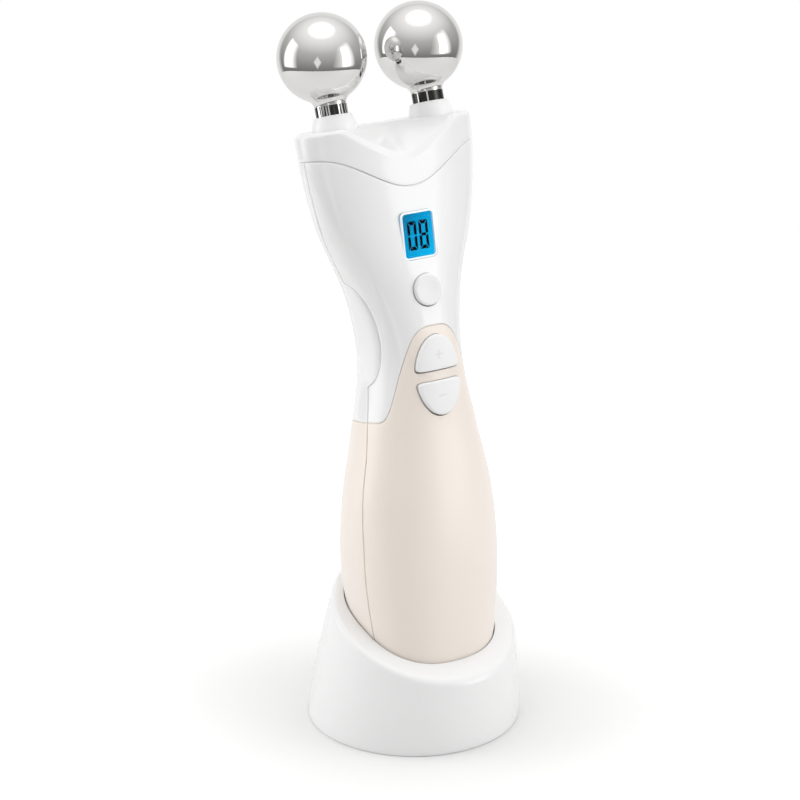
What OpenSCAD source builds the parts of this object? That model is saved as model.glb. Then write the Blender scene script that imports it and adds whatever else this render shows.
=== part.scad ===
// Facial toning handset with two ball probes, in its slanted charging stand.
// World frame: origin at the centre of the stand's underside, +Z up, front towards -Y.
// Handset frame: origin at the centre of the handset's foot, Z up the handset's leaning
// axis, front towards -Y. Millimetres.

/* [Handset pose] */
// Lean of the handset towards the back
lean = 13; // [10:0.5:15]
// Distance of the foot's centre in front of the stand's centre
foot_front = 7.9; // [7:0.1:9]
// Height of the foot's centre above the table
foot_height = 12.9; // [12.5:0.1:15]

/* [Handset sections: height, half width, half depth, centre] */
// Foot
foot = [0, 16.9, 14.3, -1.4]; // [-30:0.1:180]
// Shin, where the stand's front rim lies
shin = [15, 19.9, 18.2, -1.5]; // [-30:0.1:180]
// Belly, the widest part of the handle
belly = [37, 22.4, 20.2, -3.3]; // [-30:0.1:180]
// Hip
hip = [57, 21.5, 18.7, -6.3]; // [-30:0.1:180]
// Wrist, below the waist
wrist = [77, 17.4, 16.4, -9]; // [-30:0.1:180]
// Waist, the narrowest part
waist = [96, 14.1, 14.7, -11.5]; // [-30:0.1:180]
// Neck, above the waist
neck = [113, 16.2, 13.1, -12.6]; // [-30:0.1:180]
// Cheek
cheek = [137, 24.6, 11, -13]; // [-30:0.1:180]
// Brow, where the head cap begins
brow = [153, 27.3, 10.8, -13.2]; // [-30:0.1:180]
// Crown, the flat top between the balls
crown = [163, 27.8, 10.9, -13.2]; // [-30:0.1:180]
// Squareness of the sections, 2 is an ellipse
squareness = 2.4; // [2:0.1:3]

/* [Shells and parting lines] */
// Wall of the handset's shells
wall = 2; // [1.6:0.1:2.2]
// Gap between neighbouring shells
seam_gap = 0.3; // [0.2:0.05:0.4]
// Rounding of a shell's edge at a seam
seam_round = 0.3; // [0.1:0.05:0.5]
// Height of the line between the ivory covers and the white shells
ivory_s = 80.4; // [78:0.1:82]
// Rise of the ivory arch round the keys
arch_rise = 25.6; // [24:0.1:27]
// Half width of the ivory arch at its foot
arch_half = 15.9; // [15:0.1:16.2]
// Fullness of the ivory arch: higher is broader at the top
arch_fullness = 1.8; // [1.5:0.05:2]
// Height of the head cap's seam at the front centre
cap_low_s = 145.1; // [143:0.1:147]
// Height of the head cap's seam at the sides
cap_high_s = 155.3; // [154:0.1:156]
// Height of the side lobe's centre
lobe_s = 105.5; // [104:0.1:107]
// Length of the side lobe
lobe_length = 29.6; // [26:0.1:30]
// Reach of the side lobe towards the front
lobe_reach = 7.2; // [5:0.1:7.5]
// Depth of the side lobe below the front shell
lobe_drop = 1; // [0.5:0.1:1.2]

/* [Head cap] */
// Height of the valley's lowest point, on the front
valley_s = 153.3; // [152.5:0.1:155]
// Rise of the valley towards the back, per millimetre
valley_rise = 0.88; // [0.8:0.01:1]
// Rise of the valley's sides, per millimetre
valley_side = 0.5; // [0.4:0.01:0.6]
// Rounding of the valley's bottom
valley_round = 3; // [2:0.1:5]
// Rounding of the cap's upper edge
cap_round = 1.2; // [0.8:0.1:1.6]
// Thickness of the cap's top
cap_top = 3; // [2.5:0.1:3.5]

/* [Ball probes] */
// Diameter of a ball
ball_d = 25; // [22:0.1:27]
// Distance between the ball centres
ball_gap = 32; // [30:0.1:34]
// Height of a ball's centre above the crown, along its neck
ball_rise = 19.8; // [19:0.1:22]
// Tilt of the necks towards the back, from the handset's axis
neck_tilt = 6; // [3:0.5:8]
// Distance of the necks from the handset's axis, at the crown
neck_front = 13.5; // [12.5:0.1:14.2]
// Diameter of a neck
neck_d = 9; // [8:0.1:9.4]
// Radius of the flare between neck and ball
flare_r = 2.5; // [1.5:0.1:3]
// Diameter of a collar at its foot
collar_d = 12.8; // [12.4:0.1:13.4]
// Diameter of a collar at its top
collar_top_d = 11.2; // [10.6:0.1:11.8]
// Height of a collar above the crown
collar_h = 3.7; // [3:0.1:4.5]
// Depth of the seat that a collar stands in
collar_seat = 1.3; // [1:0.1:1.4]
// Diameter of the threaded studs
stud_d = 4; // [3:0.1:4.5]

/* [Display] */
// Height of the display's centre
display_s = 131.4; // [129.5:0.1:133]
// Width of the visible window
window_w = 9.6; // [8:0.1:9.6]
// Length of the visible window
window_l = 11.9; // [10:0.1:12]
// Width of the frame round the window
bezel_w = 0.7; // [0.6:0.1:1]
// Backward tilt of the window's face from the handset's axis
window_tilt = 2.4; // [1:0.1:4]

/* [Buttons] */
// Height of the power button's centre
power_s = 116.1; // [115.5:0.1:117]
// Diameter of the power button
power_d = 9; // [8:0.1:9.4]
// Height of the centre of the two keys' oval
keys_s = 92.1; // [91.5:0.1:92.5]
// Width of the keys' oval
keys_w = 14.2; // [13:0.1:14.4]
// Length of the keys' oval
keys_l = 22.8; // [21:0.1:23]
// Gap between the two keys
keys_gap = 3; // [2.4:0.1:3.6]
// How far the buttons stand proud
proud = 1; // [0.6:0.1:1.2]
// Travel of the buttons
button_travel = 0.6; // [0.3:0.1:0.6]
// Clearance round the buttons
button_gap = 0.3; // [0.2:0.05:0.4]

/* [Stand] */
// Radius of the stand's base
base_r = 31.4; // [31:0.1:34]
// Height of the stand's top plane above the stand's centre
top_height = 35.4; // [33:0.1:36]
// Slope of the stand's top plane
top_slope = 22.8; // [20:0.1:25]
// Half width of the stand's rim
rim_half_w = 27.2; // [26.8:0.1:28]
// Half depth of the stand's rim
rim_half_d = 26.5; // [26:0.1:27]
// Distance of the rim's centre in front of the stand's centre
rim_front = 5; // [4:0.1:5.2]
// Rounding of the rim
rim_round = 1.8; // [1:0.1:2]
// Wall of the stand
stand_wall = 2; // [1.6:0.1:2.2]
// Clearance of the pocket round the handset's foot
pocket_gap = 0.45; // [0.35:0.05:0.6]
// Thickness of the rubber pad under the stand
pad_h = 1; // [0.8:0.1:1.2]

/* [Charging] */
// Distance between the two charge pins
pin_pitch = 12; // [10:0.1:14]
// Diameter of the charge pins
pin_d = 2; // [1.6:0.1:2.2]
// Travel of the charge pins
pin_travel = 1; // [0.6:0.1:1.2]
// Diameter of the inlet's bore
inlet_d = 3.5; // [3:0.1:3.6]
// Height of the inlet's bore above the table
inlet_z = 8; // [7.5:0.1:9]

/* [Hidden] */

ivory = [0.93, 0.89, 0.85];
white = [0.95, 0.95, 0.95];
steel = [0.72, 0.72, 0.74];

// ---- the handset's outline: sections joined by a smooth curve ----

stations = [foot, shin, belly, hip, wrist, waist, neck, cheek, brow, crown];
last = len(stations) - 1;

function secant(a, b, k) = (b[k] - a[k]) / (b[0] - a[0]);

// Slope of quantity k at station i: the parabola through it and its two neighbours
function slope_at(i, k) =
    let (a = stations[max(i - 1, 0)], m = stations[i], b = stations[min(i + 1, last)])
    i == 0 || i == last ? secant(a, b, k)
    : (secant(a, m, k) * (b[0] - m[0]) + secant(m, b, k) * (m[0] - a[0])) / (b[0] - a[0]);

slopes = [for (i = [0:last]) [0, slope_at(i, 1), slope_at(i, 2), slope_at(i, 3)]];

function span_of(s, i = 0) =
    i >= last - 1 || s < stations[i + 1][0] ? i : span_of(s, i + 1);

// [unused, half width, half depth, centre] of the outline at height s
function section(s) =
    let (i = span_of(s), h = stations[i + 1][0] - stations[i][0],
         t = (s - stations[i][0]) / h, t2 = t * t, t3 = t2 * t)
    (2 * t3 - 3 * t2 + 1) * stations[i] + (t3 - 2 * t2 + t) * h * slopes[i]
        + (3 * t2 - 2 * t3) * stations[i + 1] + (t3 - t2) * h * slopes[i + 1];

function squared(v) = sign(v) * pow(abs(v), 2 / squareness);

// Point of the skin at angle t (0 right, 90 front) and height s, sunk below the surface
function skin(t, s, sink = 0) =
    let (q = section(s))
    [(q[1] - sink) * squared(cos(t)), q[3] - (q[2] - sink) * squared(sin(t)), s];

// Front (side -1) or back (side 1) of the skin at distance x from the middle
function skin_y(x, s, side, sink = 0) =
    let (q = section(s), r = min(abs(x) / (q[1] - sink), 1))
    q[3] + side * (q[2] - sink) * pow(1 - pow(r, squareness), 1 / squareness);

function front_y(x, s) = skin_y(x, s, -1);

// Angle at which the skin lies at distance y from the handset's axis
function angle_of_y(y, s) =
    let (q = section(s), r = (q[3] - y) / q[2])
    sign(r) * asin(pow(abs(r), squareness / 2));

// ---- parting lines ----

// Parting line down each side: height and distance from the axis
parting = [[0, -3.2], [20, -6.2], [45, -9.9], [70, -11.9], [80, -11.8], [90, -11.2],
    [105, -11.3], [120, -11.9], [130, -12.1], [141, -13.4], [163, -14.5]];

function parting_y(s) = lookup(s, parting);
function side_angle(s) = angle_of_y(parting_y(s), s);

// Elliptic side lobe: 0 at its ends, 1 at its middle
function lobe(s) = sqrt(max(0, 1 - pow((s - lobe_s) / (lobe_length / 2), 2)));

function lobe_angle(s) =
    angle_of_y(parting_y(s) - lobe_reach * lobe(s), s) - side_angle(s);

// Ivory arch: height above its foot at distance x from the middle
function arch(x) =
    arch_rise * (1 + cos(180 * pow(min(abs(x) / arch_half, 1), arch_fullness))) / 2;

// Height of the head cap's seam: a dip in front, level at the back
function cap_seam(t) =
    let (x = abs(skin(t, cap_high_s)[0]) / brow[1])
    sin(t) > 0 ? cap_low_s + (cap_high_s - cap_low_s) * (1 - cos(180 * min(x, 1))) / 2
    : cap_high_s;

// Angle that takes up half a seam gap
function gap_angle(s) = seam_gap / 2 / section(s)[1] * 180 / PI;

function mix(a, b, f) = a + (b - a) * f;
function smooth(f) = let (u = min(max(f, 0), 1)) u * u * (3 - 2 * u);
function reversed(v) = [for (i = [len(v) - 1:-1:0]) v[i]];

// ---- closed solids from grids of points ----
// Rows climb and columns run left to right, as seen from outside.

function wall_faces(rows, cols, first, around = false) =
    [for (i = [0:rows - 2], j = [0:cols - (around ? 1 : 2)])
        let (a = first + i * cols + j, b = first + i * cols + (j + 1) % cols)
        each [[a, a + cols, b + cols], [a, b + cols, b]]];

function fan_faces(tip, cols, first) =
    [for (j = [0:cols - 1]) [tip, first + (j + 1) % cols, first + j]];

function flipped(faces) = [for (f = faces) reversed(f)];
function quad(a, b, c, d) = [[a, b, c], [a, c, d]];
function flat_list(grid) = [for (r = grid) each r];
function middle(ring) = [for (k = [0:2]) [for (p = ring) p[k]] * [for (p = ring) 1] / len(ring)];

// Solid between two grids of the same size
module thick_patch(outer, inner) {
    rows = len(outer);
    cols = len(outer[0]);
    n = rows * cols;
    top = (rows - 1) * cols;
    ends = concat(
        [for (j = [0:cols - 2]) each quad(j, j + 1, n + j + 1, n + j)],
        [for (j = [0:cols - 2]) each quad(top + j + 1, top + j, n + top + j, n + top + j + 1)],
        [for (i = [0:rows - 2]) let (a = i * cols) each quad(a + cols, a, n + a, n + a + cols)],
        [for (i = [0:rows - 2]) let (a = i * cols + cols - 1)
            each quad(a, a + cols, n + a + cols, n + a)]);
    polyhedron(concat(flat_list(outer), flat_list(inner)),
        concat(wall_faces(rows, cols, 0), flipped(wall_faces(rows, cols, n)), ends));
}

// Solid inside a stack of rings, closed by a fan at each end
module ring_solid(rings) {
    cols = len(rings[0]);
    rows = len(rings);
    n = rows * cols;
    polyhedron(concat(flat_list(rings), [middle(rings[0]), middle(rings[rows - 1])]),
        concat(wall_faces(rows, cols, 0, true), flipped(fan_faces(n, cols, 0)),
            fan_faces(n + 1, cols, n - cols)));
}

// Solid between two stacks of rings that meet at their first rings
module cup_solid(outer, inner) {
    cols = len(outer[0]);
    n = len(outer) * cols;
    m = len(inner) * cols;
    foot = [for (j = [0:cols - 1]) let (k = (j + 1) % cols) each quad(j, k, n + k, n + j)];
    polyhedron(
        concat(flat_list(outer), flat_list(inner),
            [middle(outer[len(outer) - 1]), middle(inner[len(inner) - 1])]),
        concat(wall_faces(len(outer), cols, 0, true),
            flipped(wall_faces(len(inner), cols, n, true)), foot,
            fan_faces(n + m, cols, n - cols),
            flipped(fan_faces(n + m + 1, cols, n + m - cols))));
}

// ---- frames ----

module in_handset() {
    translate([0, -foot_front, foot_height]) rotate([-lean, 0, 0]) children();
}

function to_world(p) =
    [p[0], -foot_front + p[1] * cos(lean) + p[2] * sin(lean),
     foot_height - p[1] * sin(lean) + p[2] * cos(lean)];

// Upright along a probe's neck, origin at the crown's height, side -1 left, 1 right
module at_probe(side) {
    in_handset() translate([side * ball_gap / 2, -neck_front, crown[0]])
        rotate([-neck_tilt, 0, 0]) children();
}

// Z points out of the front and Y up, at height s
module facing_front(s) {
    translate([0, 0, s]) rotate([90, 0, 0]) children();
}

module rounded_rect(w, l, r) {
    square([w - 2 * r, l], center = true);
    square([w, l - 2 * r], center = true);
    for (x = [-1, 1], y = [-1, 1])
        translate([x * (w / 2 - r), y * (l / 2 - r)]) circle(r, $fn = 24);
}

// ---- shells ----

// Rows of a shell: [share of the way up, step up, depth], rounded at both ends
function shell_rows(shares, low_round) =
    let (n = len(shares) - 1)
    concat(
        [[0, 0, low_round], [0, low_round * 0.3, low_round * 0.3], [0, low_round, 0]],
        [for (i = [1:n - 1]) [shares[i], 0, 0]],
        [[1, -seam_round, 0], [1, 0, seam_round]]);

// Points of a shell: low and high are each column's ends, place gives the angle of a
// column at a height, and drop how far it lies below the skin
function shell_grid(rows, columns, low, high, place, drop, sink) =
    [for (r = rows)
        [for (j = [0:len(columns) - 1])
            let (q = columns[j], s = mix(low[j], high[j], r[0]) + r[1],
                 edge = q == 0 || q == 1 ? seam_round : 0)
            skin(place(q, s), s, drop(q, s) + (sink > 0 ? sink : max(edge, r[2])))]];

function mirrored(shares) =
    concat(shares, [for (i = [len(shares) - 2:-1:0]) 1 - shares[i]]);

front_columns = mirrored([0, 0.008, 0.045, 0.085, 0.13, 0.18, 0.23, 0.28, 0.33, 0.385, 0.44,
    0.5]);
rear_columns = mirrored([0, 0.006, 0.03, 0.06, 0.1, 0.15, 0.21, 0.28, 0.35, 0.42, 0.5]);

// The lobe pushes its seam forward; the push fades within these shares of each shell
front_fade = 0.2;
rear_fade = 0.06;

// Angle of a column of the front: left seam at share 0, right seam at share 1
function front_place(q, s, lobed) =
    let (near = min(q, 1 - q), a = side_angle(s) + gap_angle(s),
         push = lobed ? lobe_angle(s) * max(0, 1 - near / front_fade) : 0,
         t = a + near * (180 - 2 * a) + push)
    q > 0.5 ? t : 180 - t;

// Angle of a column of the back: right seam at share 0, left seam at share 1
function rear_place(q, s, lobed) =
    let (near = min(q, 1 - q), a = side_angle(s) - gap_angle(s),
         push = lobed ? lobe_angle(s) * max(0, 1 - near / rear_fade) : 0,
         t = mix(a, -90, near * 2) + push)
    q > 0.5 ? -180 - t : t;

// Height of the ivory line on a column of the front, found by repeating
function ivory_line(q, s = ivory_s, n = 16) =
    n == 0 ? s
    : ivory_line(q, mix(s, ivory_s + arch(skin(front_place(q, s, false), s)[0]), 0.5), n - 1);

ivory_top = [for (q = front_columns) ivory_line(q)];

// Shares of the white shells' height: the lobe's ends and middle get close rows
white_shares = [for (s = concat([ivory_s, ivory_s + 3, ivory_s + 7],
        [for (a = [0:20:180]) lobe_s - lobe_length / 2 * cos(a)],
        [125, 130, 135.5, 141, 146, 151, cap_high_s]))
    (s - ivory_s) / (cap_high_s - ivory_s)];

ivory_shares = [for (i = [0:12]) i / 12];

function all_columns(columns, value) = [for (q = columns) value];

module front_shell() {
    low = [for (s = ivory_top) s + seam_gap / 2];
    high = [for (q = front_columns)
        cap_seam(front_place(q, cap_high_s, true)) - seam_gap / 2];
    rows = shell_rows(white_shares, seam_round);
    place = function(q, s) front_place(q, s, true);
    drop = function(q, s) 0;
    color(white) in_handset() difference() {
        union() {
            thick_patch(shell_grid(rows, front_columns, low, high, place, drop, 0),
                shell_grid(rows, front_columns, low, high, place, drop, wall));
            board_bosses();
        }
        at_window() translate([0, 0, -10])
            linear_extrude(20) rounded_rect(bezel_out_w + 0.2, bezel_out_l + 0.2, bezel_corner + 0.1);
        facing_front(power_s) cylinder(d = power_d + 2 * button_gap, h = 60, $fn = 48);
        board_screw_places() cylinder(d = screw_core, h = board_screw_l + 0.3, $fn = 24);
    }
}

module rear_shell() {
    low = all_columns(rear_columns, ivory_s + seam_gap / 2);
    high = all_columns(rear_columns, cap_high_s - seam_gap / 2);
    rows = shell_rows(white_shares, seam_round);
    place = function(q, s) rear_place(q, s, true);
    drop = function(q, s)
        lobe_drop * lobe(s) * smooth(1 - min(q, 1 - q) / rear_fade);
    color(white) in_handset()
        thick_patch(shell_grid(rows, rear_columns, low, high, place, drop, 0),
            shell_grid(rows, rear_columns, low, high, place, drop, wall));
}

module front_cover() {
    low = all_columns(front_columns, 0);
    high = [for (s = ivory_top) s - seam_gap / 2];
    rows = shell_rows(ivory_shares, foot_round);
    place = function(q, s) front_place(q, s, false);
    drop = function(q, s) 0;
    color(ivory) in_handset() difference() {
        thick_patch(shell_grid(rows, front_columns, low, high, place, drop, 0),
            shell_grid(rows, front_columns, low, high, place, drop, wall));
        for (up = [-1, 1])
            facing_front(keys_s) linear_extrude(60) polygon(key_outline(up, button_gap));
    }
}

module rear_cover() {
    low = all_columns(rear_columns, 0);
    high = all_columns(rear_columns, ivory_s - seam_gap / 2);
    rows = shell_rows(ivory_shares, foot_round);
    place = function(q, s) rear_place(q, s, false);
    drop = function(q, s) 0;
    color(ivory) in_handset() difference() {
        union() {
            thick_patch(shell_grid(rows, rear_columns, low, high, place, drop, 0),
                shell_grid(rows, rear_columns, low, high, place, drop, wall));
            foot_screw_places() translate([0, 0, foot_plate_h + 0.1]) {
                cylinder(r = boss_r, h = foot_boss_h, $fn = 32);
                boss_rib();
            }
        }
        foot_screw_places() translate([0, 0, -1])
            cylinder(d = screw_core, h = foot_plate_h + foot_boss_h, $fn = 24);
    }
}

// Rib from a foot boss to the rear cover's wall
module boss_rib() {
    low = foot_plate_h + 0.1;
    reach = [for (s = [low, low + foot_boss_h])
        skin_y(foot_screw_x, s, 1, wall - 0.5) - foot_screw_y];
    rotate([90, 0, 90]) translate([0, 0, -rib_w / 2]) linear_extrude(rib_w)
        polygon([[0, 0], [reach[0], 0], [reach[1], foot_boss_h], [0, foot_boss_h]]);
}

// ---- head cap ----

cap_half = 24;
valley_front = front_y(0, valley_s);

function cap_top_s(x, y) =
    min(crown[0], valley_s + valley_rise * (y - valley_front)
        + valley_side * (sqrt(x * x + valley_round * valley_round) - valley_round));

// Distance from the axis at which the valley meets the flat crown
function crease_y(x) =
    valley_front + (crown[0] - valley_s
        - valley_side * (sqrt(x * x + valley_round * valley_round) - valley_round))
        / valley_rise;

function cap_ring(share, step, depth, sink) =
    [for (k = [0:2 * cap_half - 1])
        let (t = 180 - k * 180 / cap_half, rim = skin(t, brow[0]),
             low = cap_seam(t) + seam_gap / 2, high = cap_top_s(rim[0], rim[1]),
             s = mix(low, high, share) + step)
        skin(t, s, sink > 0 ? sink : depth)];

// The last ring of a wall, laid on the cap's top, or below it by the given thickness
function cap_edge(sink, under) =
    [for (k = [0:2 * cap_half - 1])
        let (p = skin(180 - k * 180 / cap_half, brow[0] + 6, sink))
        [p[0], p[1], cap_top_s(p[0], p[1]) - under]];

front_steps = 4;
back_steps = 3;
cap_steps = front_steps + back_steps;

// Points between the front and back of the cap's top, column by column
function cap_field(edge, under) =
    [for (i = [1:cap_half - 1])
        let (f = edge[i], b = edge[2 * cap_half - i], x = f[0], deep = b[1] - f[1],
             c = min(max(crease_y(x), f[1] + 0.15 * deep), f[1] + 0.8 * deep))
        for (j = [1:cap_steps - 1])
            let (y = j < front_steps ? mix(f[1], c, j / front_steps)
                 : mix(c, b[1], (j - front_steps) / back_steps))
            [x, y, cap_top_s(x, y) - under]];

function field_faces(ring, field) =
    let (n = cap_half,
         id = function(i, j) j == 0 ? ring + i : j == cap_steps ? ring + 2 * n - i
             : field + (i - 1) * (cap_steps - 1) + j - 1)
    concat(
        [for (i = [1:n - 2], j = [0:cap_steps - 1])
            each quad(id(i, j), id(i, j + 1), id(i + 1, j + 1), id(i + 1, j))],
        [for (j = [0:cap_steps - 1]) [ring, id(1, j + 1), id(1, j)]],
        [for (j = [0:cap_steps - 1]) [ring + n, id(n - 1, j), id(n - 1, j + 1)]]);

module cap_shell() {
    edge = cap_edge(cap_round, 0);
    inner_edge = cap_edge(wall, cap_top);
    outer = [cap_ring(0, 0, seam_round, 0), cap_ring(0, seam_round, 0, 0),
        cap_ring(0.35, 0, 0, 0), cap_ring(0.65, 0, 0, 0), cap_ring(1, -cap_round, 0, 0),
        cap_ring(1, -0.35 * cap_round, 0.3 * cap_round, 0), edge];
    inner = [cap_ring(0, 0, 0, wall), cap_ring(0.3, 0, 0, wall), inner_edge];
    cols = 2 * cap_half;
    n = len(outer) * cols;
    m = len(inner) * cols;
    field = (cap_half - 1) * (cap_steps - 1);
    foot = [for (j = [0:cols - 1]) let (k = (j + 1) % cols) each quad(j, k, n + k, n + j)];
    polyhedron(
        concat(flat_list(outer), flat_list(inner), cap_field(edge, 0),
            cap_field(inner_edge, cap_top)),
        concat(wall_faces(len(outer), cols, 0, true),
            flipped(wall_faces(len(inner), cols, n, true)), foot,
            field_faces(n - cols, n + m),
            flipped(field_faces(n + m - cols, n + m + field))));
}

module head_cap() {
    color(white) difference() {
        union() {
            in_handset() cap_shell();
            for (side = [-1, 1])
                at_probe(side) translate([0, 0, -seat_under])
                    cylinder(r = seat_boss_r, h = seat_under - 2.4, $fn = 48);
        }
        for (side = [-1, 1]) at_probe(side) {
            translate([0, 0, -collar_seat])
                cylinder(d = collar_d + 0.1, h = 8, $fn = 64);
            translate([0, 0, -seat_under - 1])
                cylinder(d = spigot_d + 0.1, h = 10, $fn = 64);
        }
    }
}

// ---- probes ----

spigot_d = 10.6;
seat_under = 4.2;
seat_boss_r = 7;
collar_floor = 1.6;
tab_h = 0.6;
nut_h = 2.8;
nut_d = 7.6;
flare_steps = 8;
neck_low = -seat_under + collar_floor;
stud_low = -seat_under - tab_h - nut_h - 1;

module probe(side) {
    ball_r = ball_d / 2;
    neck_r = neck_d / 2;
    flare_x = neck_r + flare_r;
    flare_z = ball_rise - sqrt(pow(ball_r + flare_r, 2) - pow(flare_x, 2));
    share = ball_r / (ball_r + flare_r);
    turn = atan2(ball_rise - flare_z, flare_x);
    color(steel) at_probe(side) {
        translate([0, 0, ball_rise]) sphere(r = ball_r, $fn = 96);
        rotate_extrude($fn = 64) polygon(concat(
            [[0, stud_low], [stud_d / 2, stud_low], [stud_d / 2, neck_low], [neck_r, neck_low]],
            [for (i = [0:flare_steps]) let (a = turn * i / flare_steps)
                [flare_x - flare_r * cos(a), flare_z + flare_r * sin(a)]],
            [[0.9 * flare_x * share, mix(ball_rise, flare_z, 0.9 * share)], [0, ball_rise]]));
    }
}

module left_probe() { probe(-1); }
module right_probe() { probe(1); }

module collar(side) {
    edge = 0.5;
    bore = neck_d / 2 + 0.05;
    color("whitesmoke") at_probe(side) rotate_extrude($fn = 64) polygon([
        [bore, collar_h], [collar_top_d / 2 - edge, collar_h],
        [collar_top_d / 2 - 0.15 * edge, collar_h - 0.15 * edge],
        [collar_top_d / 2, collar_h - edge], [collar_d / 2, 0.4], [collar_d / 2, -collar_seat],
        [spigot_d / 2, -collar_seat], [spigot_d / 2, -seat_under],
        [stud_d / 2 + 0.05, -seat_under], [stud_d / 2 + 0.05, neck_low], [bore, neck_low]]);
}

module left_collar() { collar(-1); }
module right_collar() { collar(1); }

module contact_tabs() {
    tongue = 10;
    color("goldenrod") for (side = [-1, 1]) at_probe(side)
        translate([0, 0, -seat_under - tab_h]) difference() {
            union() {
                cylinder(d = spigot_d + 0.8, h = tab_h, $fn = 48);
                    rotate([0, 0, side > 0 ? 180 : 0])
                    translate([0, -1.5, 0]) cube([tongue, 3, tab_h]);
            }
            translate([0, 0, -1]) cylinder(d = stud_d + 0.1, h = tab_h + 2, $fn = 32);
        }
}

module probe_nuts() {
    color(steel) for (side = [-1, 1]) at_probe(side)
        translate([0, 0, -seat_under - tab_h - nut_h]) difference() {
            cylinder(d = nut_d, h = nut_h, $fn = 6);
            translate([0, 0, -1]) cylinder(d = stud_d + 0.1, h = nut_h + 2, $fn = 32);
        }
}

// ---- display ----

bezel_out_w = window_w + 2 * bezel_w;
bezel_out_l = window_l + 2 * bezel_w;
lens_h = 0.6;
lens_stands = 0.25;
bezel_stands = 0.4;
bezel_h = 0.8;
bezel_corner = 1.5;
fit_gap = 0.05;
glass_h = 1.5;
glass_w = bezel_out_w - 0.9;
glass_l = bezel_out_l - 0.9;
light_h = 1.6;
strip_l = 2.2;
holder_wall = 1.2;
holder_y = -21.3;
board_y = -18;
board_h = 1.6;
board_w = 18;
board_low = 83;
board_high = 147;
board_screw_l = 5;

// On the skin in front of the display, tilted as the window is
module at_window() {
    facing_front(display_s) translate([0, 0, -front_y(0, display_s)])
        rotate([window_tilt, 0, 0]) children();
}

glass_top = bezel_stands - bezel_h - fit_gap;
light_top = glass_top - glass_h - fit_gap;

module display_bezel() {
    color(white) in_handset() at_window() translate([0, 0, bezel_stands - bezel_h])
        linear_extrude(bezel_h) difference() {
            rounded_rect(bezel_out_w, bezel_out_l, bezel_corner);
            rounded_rect(window_w + 2 * fit_gap, window_l + 2 * fit_gap,
                bezel_corner - bezel_w + fit_gap);
        }
}

module display_window() {
    color("deepskyblue") in_handset() at_window() translate([0, 0, lens_stands - lens_h])
        linear_extrude(lens_h) rounded_rect(window_w, window_l, bezel_corner - bezel_w);
}

module display_glass() {
    color("steelblue") in_handset() at_window()
        translate([-glass_w / 2, -glass_l / 2, glass_top - glass_h])
        cube([glass_w, glass_l, glass_h]);
}

module backlight() {
    color("white") in_handset() at_window()
        translate([-glass_w / 2, -glass_l / 2 + strip_l, light_top - light_h])
        cube([glass_w, glass_l - strip_l, light_h]);
}

// Space in front of the board, up to the given height
module before_board(h) {
    w = 2 * glass_w;
    l = 2 * glass_l;
    facing_front(display_s) translate([-w / 2, -l / 2, -board_y]) cube([w, l, h]);
}

// Runs from the board to the back of the display glass
module contact_strip() {
    color("pink") in_handset() intersection() {
        before_board(board_y - front_y(0, display_s));
        at_window() translate([-glass_w / 2 + 0.5, -glass_l / 2 + 0.2, light_top - board_w])
            cube([glass_w - 1, strip_l - 0.4, board_w]);
    }
}

module display_holder() {
    w = glass_w + 2 * holder_wall;
    l = glass_l + 2 * holder_wall;
    color("lightgray") in_handset() difference() {
        facing_front(display_s) translate([-w / 2, -l / 2, -board_y])
            cube([w, l, board_y - holder_y]);
        at_window() {
            translate([-glass_w / 2 - 0.1, -glass_l / 2 - 0.1, light_top - light_h - fit_gap])
                cube([glass_w + 0.2, glass_l + 0.2, glass_w]);
            translate([-glass_w / 2, -glass_l / 2, light_top - board_w])
                cube([glass_w, strip_l, board_w]);
        }
    }
}

// ---- board, switches and buttons ----

screw_core = 1.6;
boss_r = 2;
rib_w = 1.4;

board_screws_at = [[-6.5, 143.6], [6.5, 143.6], [0, 108.8]];

module board_screw_places() {
    for (p = board_screws_at)
        facing_front(p[1]) translate([p[0], 0, -board_y - board_h]) children();
}

module board_bosses() {
    for (p = board_screws_at) facing_front(p[1]) translate([p[0], 0, -board_y])
        cylinder(r = boss_r, h = board_y - skin_y(p[0], p[1], -1, wall - 0.5), $fn = 32);
}

module main_board() {
    color("seagreen") in_handset() difference() {
        facing_front(0) translate([-board_w / 2, board_low, -board_y - board_h])
            cube([board_w, board_high - board_low, board_h]);
        board_screw_places() translate([0, 0, -1])
            cylinder(d = screw_core + 0.6, h = board_h + 2, $fn = 24);
    }
}

module board_screws() {
    color(steel) in_handset() board_screw_places() {
        translate([0, 0, -1.1]) cylinder(d = 3.6, h = 1.1, $fn = 32);
        cylinder(d = screw_core - 0.1, h = board_screw_l, $fn = 24);
    }
}

switch_w = 4.6;
switch_h = 2.4;
plunger_d = 2.2;
plunger_top = 3.2;
key_centre = 5.8;
switch_places = [power_s, keys_s + key_centre, keys_s - key_centre];

module at_switch(i) {
    facing_front(switch_places[i]) translate([0, 0, -board_y]) children();
}

module switch_bodies() {
    color("dimgray") in_handset() for (i = [0:2]) at_switch(i) difference() {
        translate([-switch_w / 2, -switch_w / 2, 0]) cube([switch_w, switch_w, switch_h]);
        translate([0, 0, 0.4]) cylinder(d = plunger_d + 0.2, h = 5, $fn = 32);
    }
}

module plunger(i) {
    color("black") in_handset() at_switch(i) translate([0, 0, 0.5 + button_travel])
        cylinder(d = plunger_d, h = plunger_top - 0.5 - button_travel, $fn = 32);
}

module power_plunger() { plunger(0); }
module plus_plunger() { plunger(1); }
module minus_plunger() { plunger(2); }

// Front of the shell's inside at distance x from the middle
function inner_y(x, s) = skin_y(x, s, -1, wall);

flange = 0.8;
stem_d = 3.4;

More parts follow.
